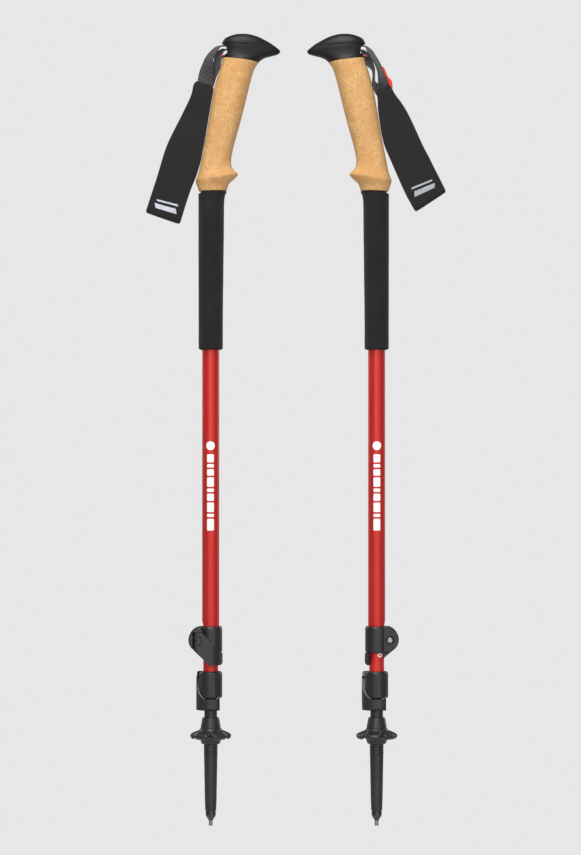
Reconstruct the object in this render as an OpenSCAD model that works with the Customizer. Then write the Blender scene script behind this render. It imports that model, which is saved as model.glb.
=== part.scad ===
// A pair of three-section trekking poles with cork grips, wrist straps, lever clamps,
// flexible tips and baskets, shown collapsed and upright.

/* [Pair] */
// Distance between the two pole axes
pole_gap = 156; // [140:1:260]
// Height from the carbide tip to the top of the grip head
grip_top = 744; // [715:1:800]

/* [Tubes] */
// Outer diameter of the upper tube
upper_d = 16; // [15.5:0.1:17]
// Wall thickness of all three tubes
tube_wall = 0.7; // [0.5:0.05:0.8]
// Room all round between one tube and the next one inside it
tube_play = 0.3; // [0.2:0.05:0.5]
// How far each inner section pulls out
travel = 330; // [200:5:340]
// Length that stays inside at full pull-out
overlap = 100; // [60:5:110]

/* [Clamps] */
// Outer diameter of the clamp barrel
clamp_d = 21.6; // [20.5:0.1:25]
// Height of the clamp barrel
clamp_h = 25; // [21:0.5:30]
// Height of the top of the upper clamp above the tip
upper_clamp_top = 187.5; // [182:0.5:230]
// Height of the top of the lower clamp above the tip
lower_clamp_top = 145; // [139:0.5:146]
// How far the lever's outer face stands off the clamp barrel
lever_wall = 2.9; // [2.5:0.1:4]
// Diameter of the clamp screw's shank
screw_d = 3.2; // [2.5:0.1:4]

/* [Grip] */
// Length of the foam sleeve under the cork
foam_len = 149; // [80:1:200]
// Diameter of the foam at its top end
foam_top_d = 25.2; // [23:0.1:30]
// Diameter of the foam at its bottom end
foam_low_d = 23.2; // [21:0.1:28]

/* [Strap] */
// Width of the webbing
webbing_w = 15; // [10:0.5:16]
// Thickness of the webbing
webbing_t = 1.4; // [1:0.1:1.8]
// Width of the pad at its folded end
pad_w = 35; // [28:0.5:44]
// Thickness of one layer of the pad
pad_t = 2.4; // [1.6:0.1:3]

/* [Tip] */
// Outer diameter of the basket
basket_d = 38.6; // [30:0.2:60]
// Number of petals on the basket
petals = 6; // [4:1:10]
// Diameter of the carbide tip
carbide_d = 3.6; // [3:0.1:4.4]

/* [Hidden] */
$fn = 64;
fit = 0.05;          // radial clearance of a fitted piece
slide_fit = 0.1;     // radial clearance of a sliding piece
side_names = ["left", "right"];
PIECES = [
    "grip_head", "grip_core", "cork_grip", "foam_sleeve", "strap_pin", "strap_wedge",
    "strap_root", "strap_webbing", "strap_pad", "strap_tab", "upper_tube", "upper_clamp",
    "upper_lever", "upper_nut", "upper_screw", "upper_shoe", "middle_bushing", "middle_tube",
    "lower_clamp", "lower_lever", "lower_nut", "lower_screw", "lower_shoe", "lower_bushing",
    "lower_tube", "flex_tip", "tip_ferrule", "carbide_tip", "basket"
];

black = [0.10, 0.10, 0.11];
rubber_black = [0.07, 0.07, 0.08];
anodised_red = [0.80, 0.10, 0.09];
accent_red = [0.90, 0.20, 0.12];
cork_tan = [0.85, 0.62, 0.38];
steel = [0.70, 0.70, 0.72];

// ---- heights along the pole, measured up from the carbide tip ----
grip_len = 148;                          // head and cork together
cork_bottom = grip_top - grip_len;
foam_bottom = cork_bottom - foam_len;
tube_seat = cork_bottom + 16;            // the upper tube ends here, inside the grip core
upper_tube_foot = upper_clamp_top - clamp_h + 0.5;
middle_tube_foot = lower_clamp_top - clamp_h + 0.5;
middle_tube_top = upper_tube_foot + overlap + travel;
lower_tube_top = middle_tube_foot + overlap + travel;
skirt_top = 101.5;                       // the flex tip's cone under the lower clamp
lower_tube_foot = skirt_top - 12;
basket_top = 91.4;
basket_foot = 76.8;
tip_end = 14;                            // end of the flexible tip's plastic
carbide_out = 5;                         // length of carbide that shows

// ---- sizes that follow the ones above ----
middle_d = upper_d - 2 * (tube_wall + tube_play);
lower_d = middle_d - 2 * (tube_wall + tube_play);
lever_face = clamp_d / 2 + lever_wall;   // distance of the lever's face from the axis
grip_grow = upper_d / 2 - 8;             // the grip's walls keep their thickness on any tube
spigot_r = upper_d / 2 + 1.6;            // the grip core's foot, which the foam covers
spigot_h = 3.4;
tip_r = lower_d / 2 + 0.5;               // the flex tip's thread, which carries the basket

// ---- smooth curves through a few stations ----
function spline(a, b, c, d, t) =
    0.5 * (2 * b + (c - a) * t + (2 * a - 5 * b + 4 * c - d) * t * t
           + (3 * b - a - 3 * c + d) * t * t * t);
function at(list, i) = list[max(0, min(len(list) - 1, i))];
// All stations, with steps points for each stretch between two of them
function smooth(list, steps) = [
    for (i = [0 : len(list) - 2]) for (k = [0 : steps - 1])
        spline(at(list, i - 1), list[i], list[i + 1], at(list, i + 2), k / steps),
    list[len(list) - 1]
];

// ---- oval sections: [rear x, rear z, front x, front z, half width, beak taper] ----
ring_sides = 28;
round_off = 0.88;    // under 1 fills the corners of the oval a little
function sgnpow(v, p) = sign(v) * pow(abs(v), p);
function oval(s, sides = ring_sides) =
    let (cx = (s[0] + s[2]) / 2, cz = (s[1] + s[3]) / 2,
         hx = (s[2] - s[0]) / 2, hz = (s[3] - s[1]) / 2)
    [for (k = [0 : sides - 1])
        let (a = 360 * k / sides, c = sgnpow(cos(a), round_off), n = sgnpow(sin(a), round_off))
        [cx + hx * c, s[4] * n * (1 - s[5] * (1 + c) / 2), cz + hz * c]];
function grown(s, g) =
    let (dx = s[2] - s[0], dz = s[3] - s[1], l = sqrt(dx * dx + dz * dz))
    [s[0] - g * dx / l, s[1] - g * dz / l, s[2] + g * dx / l, s[3] + g * dz / l, s[4] + g, s[5]];
// Stations given over the cork's foot, for the tube that the grip sits on
function lifted(list) = [for (s = list)
    grown([s[0], s[1] + cork_bottom, s[2], s[3] + cork_bottom, s[4], s[5]], grip_grow)];

// A solid through a stack of rings, closed at both ends
module skin(rings) {
    n = len(rings[0]);
    m = len(rings);
    points = [for (r = rings) for (p = r) p];
    sides = [for (i = [0 : m - 2]) for (k = [0 : n - 1])
        let (a = i * n + k, b = i * n + (k + 1) % n) each [[a, a + n, b], [b, a + n, b + n]]];
    polyhedron(points, concat(sides, [[for (k = [0 : n - 1]) k]],
        [[for (k = [n - 1 : -1 : 0]) (m - 1) * n + k]]));
}

// A solid round a hole: the last ring joins the first
module ring_skin(rings) {
    n = len(rings[0]);
    m = len(rings);
    points = [for (r = rings) for (p = r) p];
    polyhedron(points, [for (i = [0 : m - 1]) for (k = [0 : n - 1])
        let (a = i * n + k, b = i * n + (k + 1) % n,
             c = ((i + 1) % m) * n + k, d = ((i + 1) % m) * n + (k + 1) % n)
        each [[a, c, b], [b, c, d]]]);
}

// ---- grip ----
cork_stations = lifted([
    [-11.0, 0.0, 15.0, 0.6, 12.8, 0],
    [-12.6, 4.4, 17.2, 7.0, 14.2, 0],
    [-13.9, 8.0, 22.8, 12.2, 16.4, 0],
    [-14.0, 10.0, 25.4, 15.6, 17.2, 0],
    [-12.9, 13.2, 23.0, 18.8, 16.4, 0],
    [-11.0, 19.0, 19.9, 23.2, 14.4, 0],
    [-9.4, 27.0, 19.3, 30.4, 13.6, 0],
    [-6.3, 43.0, 21.6, 42.4, 13.6, 0],
    [-2.9, 61.0, 26.4, 59.6, 14.4, 0],
    [0.1, 79.5, 30.9, 76.6, 15.0, 0],
    [3.4, 97.0, 35.1, 94.0, 15.2, 0],
    [7.2, 111.0, 38.6, 107.4, 15.0, 0],
    [9.8, 119.6, 41.4, 115.6, 14.7, 0],
    [11.2, 125.6, 45.2, 121.2, 14.6, 0]
]);
core_stations = lifted([
    [-9.9, 0.2, 11.0, 0.6, 10.2, 0],
    [-9.9, 16.0, 13.4, 18.0, 10.3, 0],
    [-7.2, 29.0, 14.6, 31.0, 9.8, 0],
    [-3.7, 45.0, 17.0, 44.0, 9.4, 0],
    [2.8, 76.0, 25.6, 73.0, 10.0, 0],
    [9.6, 106.0, 33.0, 102.0, 10.3, 0],
    [15.2, 124.9, 40.2, 121.6, 10.3, 0]
]);
head_stations = lifted([
    [11.2, 125.6, 45.2, 121.2, 14.6, 0.00],
    [10.9, 127.6, 47.2, 123.2, 14.8, 0.12],
    [10.5, 129.8, 51.2, 125.4, 15.0, 0.26],
    [10.3, 132.0, 58.0, 127.2, 15.3, 0.40],
    [10.2, 134.2, 63.4, 128.8, 15.8, 0.49],
    [10.2, 136.2, 65.2, 130.8, 16.3, 0.52],
    [10.3, 137.8, 65.0, 132.4, 16.5, 0.52],
    [10.6, 139.4, 61.6, 135.4, 15.9, 0.47],
    [11.6, 141.4, 55.6, 139.6, 14.6, 0.38],
    [13.6, 143.8, 47.0, 144.2, 12.0, 0.26],
    [17.8, 145.8, 41.2, 146.4, 9.2, 0.16],
    [23.0, 147.4, 35.6, 147.7, 5.4, 0.06],
    [28.4, 148.0, 30.2, 148.0, 0.8, 0.00]
]);
slot_low = cork_bottom + 127.8;
slot_high = cork_bottom + 138.4;
slot_w = webbing_w + 2;
pin_x = 30.9;
pin_z = cork_bottom + 135.3;
pin_r = 1.25;
wedge_h = 1.6;       // the flat wedge under the webbing

module grip_head() {
    color(rubber_black)
    difference() {
        skin([for (s = smooth(head_stations, 2)) oval(s)]);
        // Slot from the rear for the webbing's loop, and the pin across it
        translate([5, -slot_w / 2, slot_low]) cube([pin_x, slot_w, slot_high - slot_low]);
        translate([pin_x, 0, pin_z])
            rotate([90, 0, 0]) cylinder(r = pin_r + fit, h = 60, center = true);
        strap_wedge_space(fit);
    }
}

module grip_core() {
    color(black)
    difference() {
        union() {
            skin([for (s = smooth(core_stations, 2)) oval(s)]);
            translate([0, 0, cork_bottom - spigot_h]) cylinder(r = spigot_r, h = spigot_h + 2);
        }
        translate([0, 0, cork_bottom - 5])
            cylinder(d = upper_d + 2 * fit, h = tube_seat - cork_bottom + 5 + fit);
    }
}

module cork_grip() {
    inside = [for (s = core_stations) grown(s, fit)];
    outside = smooth(cork_stations, 2);
    color(cork_tan)
    ring_skin(concat([for (s = outside) oval(s)],
        let (back = smooth(inside, 2)) [for (i = [len(back) - 1 : -1 : 0]) oval(back[i])]));
}

module foam_sleeve() {
    top_r = foam_top_d / 2;
    low_r = foam_low_d / 2;
    bore_r = upper_d / 2 + fit;
    soft = 2;            // rounding of the ends
    gap = 0.1;           // between the foam and the cork
    color(rubber_black)
    difference() {
        translate([0, 0, foam_bottom]) rotate_extrude() polygon([
            [bore_r, 0], [low_r - soft, 0], [low_r - soft * 0.3, soft * 0.3], [low_r, soft],
            [low_r, foam_len * 0.25], [(low_r + top_r) / 2 - 0.2, foam_len * 0.6],
            [top_r - 0.5, foam_len * 0.88], [top_r, foam_len - 3.4],
            [top_r - 0.4, foam_len - gap], [bore_r, foam_len - gap]
        ]);
        // Recess for the grip core's foot
        translate([0, 0, cork_bottom - spigot_h - fit]) cylinder(r = spigot_r + fit, h = spigot_h + 2);
        // The top slopes down towards the rear
        translate([-top_r * 2 - 3, -top_r * 2, cork_bottom - 0.5]) rotate([0, 7, 0])
            cube([top_r * 2, top_r * 4, 6]);
    }
}

module strap_pin() {
    color(steel) translate([pin_x, 0, pin_z])
        rotate([90, 0, 0]) cylinder(r = pin_r, h = 24.4, center = true);
}

module strap_wedge_space(g) {
    translate([9.4 - grip_grow - g, -slot_w / 2 + 1 - g, slot_low - wedge_h - g])
        cube([12 + grip_grow + 2 * g, slot_w - 2 + 2 * g, wedge_h + 2 * g]);
}

module strap_wedge() {
    color(accent_red) strap_wedge_space(0);
}

// ---- strap: webbing centreline [x, y, z, twist], from the pad up into the head and back ----
function lift_path(list) = [for (p = list) [p[0], p[1], p[2] + cork_bottom, p[3]]];
// The hanging stretch keeps its edge clear of the cork: wider webbing moves away from it
function hang_path(list) = [for (p = list)
    [p[0] - (webbing_w / 2 - 7.5) * abs(sin(p[3])) - grip_grow, p[1], p[2] + cork_bottom, p[3]]];
root_path = lift_path([
    [14.5, 0, 137.4, 0], [21.0, 0, 137.4, 0], [30.9, 0, 137.4, 0], [32.4, 0, 136.8, 0],
    [33.0, 0, 135.3, 0], [32.4, 0, 133.8, 0], [30.9, 0, 133.2, 0], [21.0, 0, 132.6, 0],
    [14.5, 0, 131.8, 0]
]);
strands_left = [
    hang_path([
        [-6.2, -1.0, 95.5, 90], [-4.4, -1.0, 108.0, 88], [-3.2, -0.8, 116.0, 74],
        [-0.9, -0.4, 124.5, 52], [2.4, 0, 131.5, 28], [6.4, 0, 135.9, 10], [10.5, 0, 137.3, 0]
    ]),
    hang_path([
        [10.5, 0, 130.8, 0], [7.6, 0, 129.4, 8], [4.6, 0.3, 124.8, 24], [1.8, 0.8, 118.0, 48],
        [-1.6, 1.0, 110.0, 76], [-3.4, 1.0, 104.5, 86], [-6.2, 1.0, 95.5, 90]
    ])
];
strands_right = [
    hang_path([
        [-9.2, 0.9, 96.0, -90], [-8.6, 0.9, 102.5, -89], [-7.4, 0.9, 108.5, -52],
        [-6.0, 0.5, 115.0, -34], [-3.6, 0, 121.5, -22], [-1.0, 0, 127.5, -15],
        [2.0, 0, 133.0, -10], [6.0, 0, 136.6, -4], [10.5, 0, 137.3, 0]
    ]),
    hang_path([
        [10.5, 0, 130.9, 0], [7.4, 0, 128.6, 4], [4.2, -0.3, 121.8, 12], [1.5, -0.8, 115.0, 20],
        [-0.6, -1.2, 109.0, 36], [-3.8, -1.2, 103.0, 74], [-7.6, -0.9, 98.6, 90],
        [-9.4, -0.9, 95.6, 90]
    ])
];

// The four corners of the webbing at point i of its path
function webbing_ring(path, i) =
    let (p = path[i], a = at(path, i - 1), b = at(path, i + 1),
         dx = b[0] - a[0], dz = b[2] - a[2], l = sqrt(dx * dx + dz * dz),
         normal = [dz / l, 0, -dx / l],
         wide = cos(p[3]) * [0, -1, 0] + sin(p[3]) * normal,
         thin = cos(p[3]) * normal + sin(p[3]) * [0, 1, 0],
         c = [p[0], p[1], p[2]])
    [for (q = [[-1, -1], [1, -1], [1, 1], [-1, 1]])
        c + q[0] * wide * webbing_w / 2 + q[1] * thin * webbing_t / 2];

module webbing(path) {
    fine = smooth(path, 2);
    color(black) skin([for (i = [0 : len(fine) - 1]) webbing_ring(fine, i)]);
}

module strap_root() {
    webbing(root_path);
}

module strap_webbing(strands) {
    for (path = strands) webbing(path);
}

// ---- strap pad: [hinge x, hinge height over the cork's foot, tilt, length, sideways bow] ----
pad_left = [-7.8, 96.0, 17.0, 125.9, 0];
pad_right = [-9.2, 96.0, 22.2, 114.1, 3.2];
pad_neck = webbing_w + 2.4;     // width where the webbing enters
layer_gap = 1.9;       // the two layers lie this far from the middle plane on the inside
function ease(t) = let (u = max(0, min(1, t))) u * u * (3 - 2 * u);
function pad_half(l, len) = (pad_neck + (pad_w - pad_neck) * ease((l / len - 0.02) / 0.5)) / 2;
function pad_mid(l, len, bow) = bow * 4 * (l / len) * (1 - l / len);

module pad_outline(len, bow, from, to) {
    n = 18;
    rows = [for (i = [0 : n]) from + (to - from) * i / n];
    polygon(concat(
        [for (l = rows) [pad_mid(l, len, bow) - pad_half(l, len), -l]],
        [for (i = [n : -1 : 0]) [pad_mid(rows[i], len, bow) + pad_half(rows[i], len), -rows[i]]]
    ));
}

// Places a shape drawn in [across, along] at the pad's hinge, standing in the strap's plane
module at_pad(pad) {
    translate([pad[0] - (webbing_w / 2 - 7.5) - grip_grow, 0, cork_bottom + pad[1]])
        rotate([0, pad[2], 0]) rotate([90, 0, 0]) children();
}

module strap_pad(pad) {
    full = layer_gap + pad_t;
    nose = 3.4;        // the two layers close together over this length above the fold
    color(black) at_pad(pad) difference() {
        union() {
            linear_extrude(2 * full, center = true) pad_outline(pad[3], pad[4], 0, pad[3]);
            rotate([0, 90, 0]) cylinder(r = full, h = pad_neck, center = true);
        }
        // The hand goes between the two layers, and the webbing is sewn in at their top
        linear_extrude(2 * layer_gap, center = true)
            translate([-pad_w * 1.5, nose - pad[3]]) square([pad_w * 3, pad[3] - nose + full + 1]);
    }
}

// A label sewn in beside the webbing, given as its corners over the cork's foot
tab_left = [[-1.5, 100.6], [2.0, 99.4], [2.6, 94.6], [-0.6, 93.8]];
tab_right = [[-6.4, 115.8], [-8.1, 115.5], [-9.1, 110.9], [-10.3, 107.9], [-12.1, 106.9],
    [-14.2, 104.9], [-14.4, 103.2], [-12.0, 103.2], [-9.6, 106.5]];
tab_t = 0.4;

module strap_tab(corners, side_y) {
    shift = (webbing_w / 2 - 7.5) + grip_grow;
    color(accent_red) translate([-shift, side_y + tab_t / 2, cork_bottom])
        rotate([90, 0, 0]) linear_extrude(tab_t) polygon(corners);
}

// ---- tubes ----
module plain_tube(d, foot, top) {
    difference() {
        translate([0, 0, foot]) cylinder(d = d, h = top - foot);
        translate([0, 0, foot - 1]) cylinder(d = d - 2 * tube_wall, h = top - foot + 2);
    }
}

// A tube whose foot is slit on the side of the clamp's ears, so that the clamp can close it
module slit_tube(d, foot, top, slit_w, slit_top) {
    difference() {
        plain_tube(d, foot, top);
        translate([-d, -slit_w / 2, foot - 1]) cube([d, slit_w, slit_top - foot + 1]);
        translate([-d / 2, 0, slit_top]) rotate([0, 90, 0]) cylinder(d = slit_w, h = d, center = true);
    }
}

module upper_tube() {
    color(anodised_red)
        slit_tube(upper_d, upper_tube_foot, tube_seat, upper_d / 2 - 0.2, upper_clamp_top + 0.4);
}

module middle_tube() {
    color(anodised_red)
        slit_tube(middle_d, middle_tube_foot, middle_tube_top, middle_d / 2 - 2, lower_clamp_top - 3);
}

module lower_tube() {
    color(black) plain_tube(lower_d, lower_tube_foot, lower_tube_top);
}

// A stepped plug in a tube's top end that centres it in the tube outside
module bushing(outer_bore, inner_bore, top) {
    color(black) difference() {
        union() {
            translate([0, 0, top]) cylinder(d = outer_bore - 2 * slide_fit, h = 4);
            translate([0, 0, top - 12]) cylinder(d = inner_bore - 2 * fit, h = 12);
        }
        translate([0, 0, top - 13]) cylinder(d = inner_bore - 3, h = 16);
    }
}

// ---- lever clamp, in its own frame: z 0 at the top of the barrel, ears towards -X ----
clamp_r = clamp_d / 2;
ear_r = (clamp_h - 0.8) / 2;
ear_x = -clamp_r + 2.3;
ear_z = -ear_r - 0.3;
barrel_r = 4.1;                      // radius of the lever's round end
pivot_x = -clamp_r - 1.5;
pivot_y = -(lever_face - barrel_r);
pivot_z = ear_z - 0.6;
split = 1;                           // half the gap between the ears
front_ear = 4.1;                     // outer face of the front ear
back_ear = 8.3;                      // outer face of the back ear
cam_rise = 0.6;                      // how far the cam draws the ears together
cam_gap = 0.1;                       // between the cam and the shoe
lever_drop = clamp_h + 11.3;         // foot of the lever's tail under the barrel's top
tail_top = clamp_h + 0.8;
eye_top = pivot_z + 7.4;             // the lever's round end, from top
eye_foot = pivot_z - 8;              // to foot
eye_side = pivot_x - barrel_r;
nut_r = screw_d / 2 + 0.6;
screw_head_r = screw_d / 2 + 1.5;
head_seat = back_ear - 2.9;          // the screw's head rests here
cheek_play = 0.4;                    // between the lever's eye and the cheek

module up_y(y0, y1) {
    // Turns an outline drawn in x and z into a plate between two y values
    translate([0, y1, 0]) rotate([90, 0, 0]) linear_extrude(y1 - y0) children();
}

module ear_outline() {
    translate([ear_x, ear_z]) circle(r = ear_r);
    polygon([[ear_x, ear_z + 2], [ear_x + ear_r * cos(230), ear_z + ear_r * sin(230)],
        [-6.8, -clamp_h - 4.8], [-5.4, -clamp_h - 4.8], [-5.4, ear_z]]);
}

// A round plate of the ears' radius with a bevelled outer edge, towards the front or the back
module cheek_plate(from, to, bevel) {
    up_y(min(from, to - sign(to) * bevel), max(from, to - sign(to) * bevel))
        translate([ear_x, ear_z]) circle(r = ear_r);
    translate([ear_x, to - sign(to) * bevel, ear_z]) rotate([-90 * sign(to), 0, 0])
        cylinder(r1 = ear_r, r2 = ear_r - bevel, h = bevel);
}

module clamp_body(tube_d, inner_d) {
    top_round = 2.2;
    foot_round = 1.6;
    cheek = lever_face - 0.5;
    color(black)
    difference() {
        union() {
            // Barrel with a round shoulder at its top and a smaller one at its foot
            rotate_extrude() polygon(concat(
                [[0, 0], [0, -clamp_h]],
                [for (a = [-90 : 30 : 0]) [clamp_r - foot_round + foot_round * cos(a),
                    -clamp_h + foot_round + foot_round * sin(a)]],
                [for (a = [0 : 15 : 90]) [clamp_r - top_round + top_round * cos(a),
                    -top_round + top_round * sin(a)]]));
            up_y(split, front_ear) ear_outline();
            up_y(-front_ear, -split) ear_outline();
            cheek_plate(split, back_ear, 1);
            // Cheek that shields the lever's round end
            difference() {
                cheek_plate(-front_ear, -cheek, 1.2);
                up_y(-cheek - 1, -front_ear) polygon([
                    [eye_side - cheek_play, eye_top + cheek_play],
                    [pivot_x + 5.6, eye_top + cheek_play], [pivot_x + 1.1, 0.4], [clamp_d, 2],
                    [clamp_d, -2 * clamp_h], [eye_side - cheek_play, -2 * clamp_h]]);
            }
        }
        // Bore for the outer tube, and a wider mouth round the inner one
        translate([0, 0, -clamp_h]) cylinder(d = tube_d + 2 * fit, h = clamp_h + 1);
        translate([0, 0, -clamp_h - 8]) cylinder(d = inner_d + 0.8, h = 9);
        // Split between the ears
        translate([-clamp_d * 2, -split, -clamp_h - 10]) cube([clamp_d * 2, 2 * split, clamp_h + 12]);
        // Screw hole and the round recess for its head
        translate([pivot_x, 20, pivot_z]) rotate([90, 0, 0]) cylinder(d = screw_d + 0.3, h = 40);
        translate([pivot_x, head_seat, pivot_z]) rotate([-90, 0, 0]) cylinder(r = screw_head_r + 1.4, h = 10);
    }
}

module lever() {
    side_r = lever_face - 2.5;     // how far the tail stands out at the side
    hook_r = 2.6;                  // rounding of the tail's two lower corners
    slot_half = screw_d / 2 + 0.5;
    boss = [pivot_x + 0.4, pivot_z - 0.4];
    color(black)
    difference() {
        union() {
            intersection() {
                // Silhouette: round end, diagonal neck and a tail that hooks below the barrel
                up_y(-lever_face - 1, 12) polygon(concat(
                    [[eye_side, eye_top], [eye_side, eye_foot - 0.4], [-2.8, -lever_drop + 1.8]],
                    [for (a = [225 : 15 : 270])
                        [-0.8 + hook_r * cos(a), -lever_drop + hook_r + hook_r * sin(a)]],
                    [for (a = [-90 : 15 : 0])
                        [side_r - hook_r + hook_r * cos(a), -lever_drop + hook_r + hook_r * sin(a)]],
                    [[side_r, -tail_top], [side_r - 1.4, -tail_top + 0.2],
                     [pivot_x + 6, eye_top - 1.4], [pivot_x + 3.9, eye_top]]));
                // Plan: flat face in front, round at the side
                translate([0, 0, -lever_drop - 1]) linear_extrude(lever_drop + 1) union() {
                    difference() {
                        union() {
                            translate([-2.5, 0]) circle(r = lever_face);
                            translate([pivot_x, -lever_face]) square([-2.5 - pivot_x, 4.6]);
                        }
                        translate([-1, 0]) circle(r = clamp_r - 0.6);
                        translate([-30, 0.6 - clamp_r]) square([29, 40]);
                        rotate(47) translate([-20, 0]) square([40, 20]);
                    }
                    translate([pivot_x, pivot_y]) circle(r = barrel_r);
                }
            }
            // Cam on the round end
            translate([pivot_x, pivot_y + cam_rise, eye_foot])
                cylinder(r = barrel_r, h = eye_top - eye_foot);
        }
        // Room for the clamp barrel
        translate([0, 0, -tail_top]) cylinder(r = clamp_r + 0.25, h = tail_top + 1);
        // Bore for the cross nut and the slot in which the screw swings
        translate([pivot_x, pivot_y, -lever_drop]) cylinder(r = nut_r + 0.1, h = lever_drop + 10);
        translate([pivot_x - 8, pivot_y - 2.0, pivot_z - slot_half])
            cube([8 + slot_half, 14, 2 * slot_half]);
        // Round recess in the face, with a boss left in its middle
        up_y(-lever_face - 1, -lever_face + 1.1) difference() {
            translate(boss) circle(r = 4.9);
            translate(boss) circle(r = 3.2);
        }
    }
}

module cross_nut() {
    color(steel) difference() {
        translate([pivot_x, pivot_y, pivot_z - 6.6]) cylinder(r = nut_r, h = 13.2);
        translate([pivot_x, pivot_y, pivot_z]) rotate([90, 0, 0])
            cylinder(d = screw_d + 2 * fit, h = 10, center = true);
    }
}

module screw() {
    head_h = 1.2;
    color(steel) difference() {
        union() {
            translate([pivot_x, head_seat, pivot_z]) rotate([90, 0, 0])
                cylinder(d = screw_d, h = head_seat - pivot_y + 1.4);
            translate([pivot_x, head_seat, pivot_z]) rotate([-90, 0, 0])
                cylinder(r = screw_head_r, h = head_h);
            translate([pivot_x, head_seat + head_h, pivot_z]) rotate([-90, 0, 0])
                cylinder(r1 = screw_head_r, r2 = screw_head_r - 1, h = 0.8);
        }
        // Cross recess
        for (turn = [0, 90]) translate([pivot_x, head_seat + head_h + 0.3, pivot_z])
            rotate([0, turn + 20, 0]) cube([3.4, 1.8, 0.8], center = true);
    }
}

// Steel shoe in the front ear, on which the cam bears
module shoe() {
    seat_y = pivot_y + barrel_r + cam_rise + cam_gap;
    color(steel) difference() {
        translate([pivot_x - 3.6, seat_y, pivot_z - 7]) cube([5.6, -front_ear - seat_y - 0.02, 14]);
        translate([pivot_x, 0, pivot_z]) rotate([90, 0, 0]) cylinder(d = screw_d + 0.5, h = 30);
    }
}

module at_upper_clamp() { translate([0, 0, upper_clamp_top]) children(); }
module at_lower_clamp() { translate([0, 0, lower_clamp_top]) rotate([0, 0, -90]) children(); }

// ---- tip ----
groove_r = tip_r - 0.2;       // the flex tip between its thread rings
plug_r = 3.2;                 // the ferrule's shank, pressed into the flex tip
plug_h = 9;

module flex_tip() {
    end_r = 5.2;
    cone_r = tip_r + 2.9;     // the skirt where it meets the basket
    ring = 1.2;
    color(black) difference() {
        rotate_extrude() polygon(concat(
            [[0, tip_end], [end_r - 0.4, tip_end], [end_r, tip_end + 0.8], [5.6, 26], [groove_r, 66]],
            // Three rings of the thread under the basket
            [for (z = [67.4, 70.2, 73]) each
                [[groove_r, z - 0.4], [tip_r, z], [tip_r, z + ring], [groove_r, z + ring + 0.4]]],
            [[tip_r, 76], [tip_r, basket_top + 0.1], [cone_r, basket_top + 0.1],
             [cone_r, basket_top + 1.2], [cone_r - 0.5, 95.6], [lower_d / 2 + 2, skirt_top - 0.6],
             [lower_d / 2 + 1.6, skirt_top], [0, skirt_top]]));
        translate([0, 0, lower_tube_foot - fit]) cylinder(d = lower_d + 2 * fit, h = 30);
        translate([0, 0, tip_end - 1]) cylinder(r = plug_r + fit, h = plug_h + 2);
    }
}

shank_d = carbide_d - 0.6;    // the carbide's hidden shank
shank_h = 11.5;

module tip_ferrule() {
    foot_r = carbide_d / 2 + 0.4;
    color(steel) difference() {
        rotate_extrude() polygon([
            [0, tip_end + plug_h], [plug_r, tip_end + plug_h], [plug_r, tip_end - 0.1],
            [4.5, tip_end - 0.1], [4.75, tip_end - 0.6], [4.75, 10.2], [4.4, 8.9], [3.5, 7.4],
            [foot_r + 0.3, 6.0], [foot_r, carbide_out], [0, carbide_out]
        ]);
        translate([0, 0, -1]) cylinder(d = shank_d + 2 * fit, h = shank_h + 1.5);
    }
}

module carbide_tip() {
    color(steel) difference() {
        union() {
            cylinder(d = carbide_d, h = carbide_out - 0.05);
            cylinder(d = shank_d, h = shank_h);
        }
        // Hollow biting end
        translate([0, 0, -0.01]) cylinder(d1 = carbide_d - 1.0, d2 = 0.6, h = 1.2);
    }
}

// Hub and drooping petals in one profile: [distance from the axis, height over the hub's foot]
module basket() {
    r = basket_d / 2;
    hub_r = tip_r + 3.4;
    bore_r = tip_r + slide_fit;
    hub_h = basket_top - basket_foot;
    color(black) difference() {
        translate([0, 0, basket_foot]) rotate_extrude() polygon([
            [bore_r, 0], [hub_r - 1.9, 0], [hub_r - 1.0, 0.9], [hub_r - 0.4, 2.4], [hub_r, 4.6],
            [hub_r + 2.2, 5.2], [r - 6.0, 4.7], [r - 5.1, 3.7], [r - 3.9, 3.3], [r - 2.5, 4.0],
            [r - 0.9, 5.6], [r, 7.4], [r - 0.3, 8.8], [r - 1.5, 10.1], [r - 3.5, 10.9],
            [hub_r + 3.1, 11.2], [hub_r + 0.9, 11.8], [hub_r + 0.4, 12.6], [hub_r - 0.3, hub_h - 0.3],
            [hub_r - 0.6, hub_h], [bore_r, hub_h]
        ]);
        // Open notches between the petals
        for (k = [0 : petals - 1]) rotate([0, 0, 360 * (k + 0.5) / petals]) {
            translate([hub_r + 4.6, 0, basket_foot - 1]) cylinder(r = 2.1, h = 20);
            translate([hub_r + 4.6, -1.5, basket_foot - 1]) cube([basket_d, 3, 20]);
        }
    }
}

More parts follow.
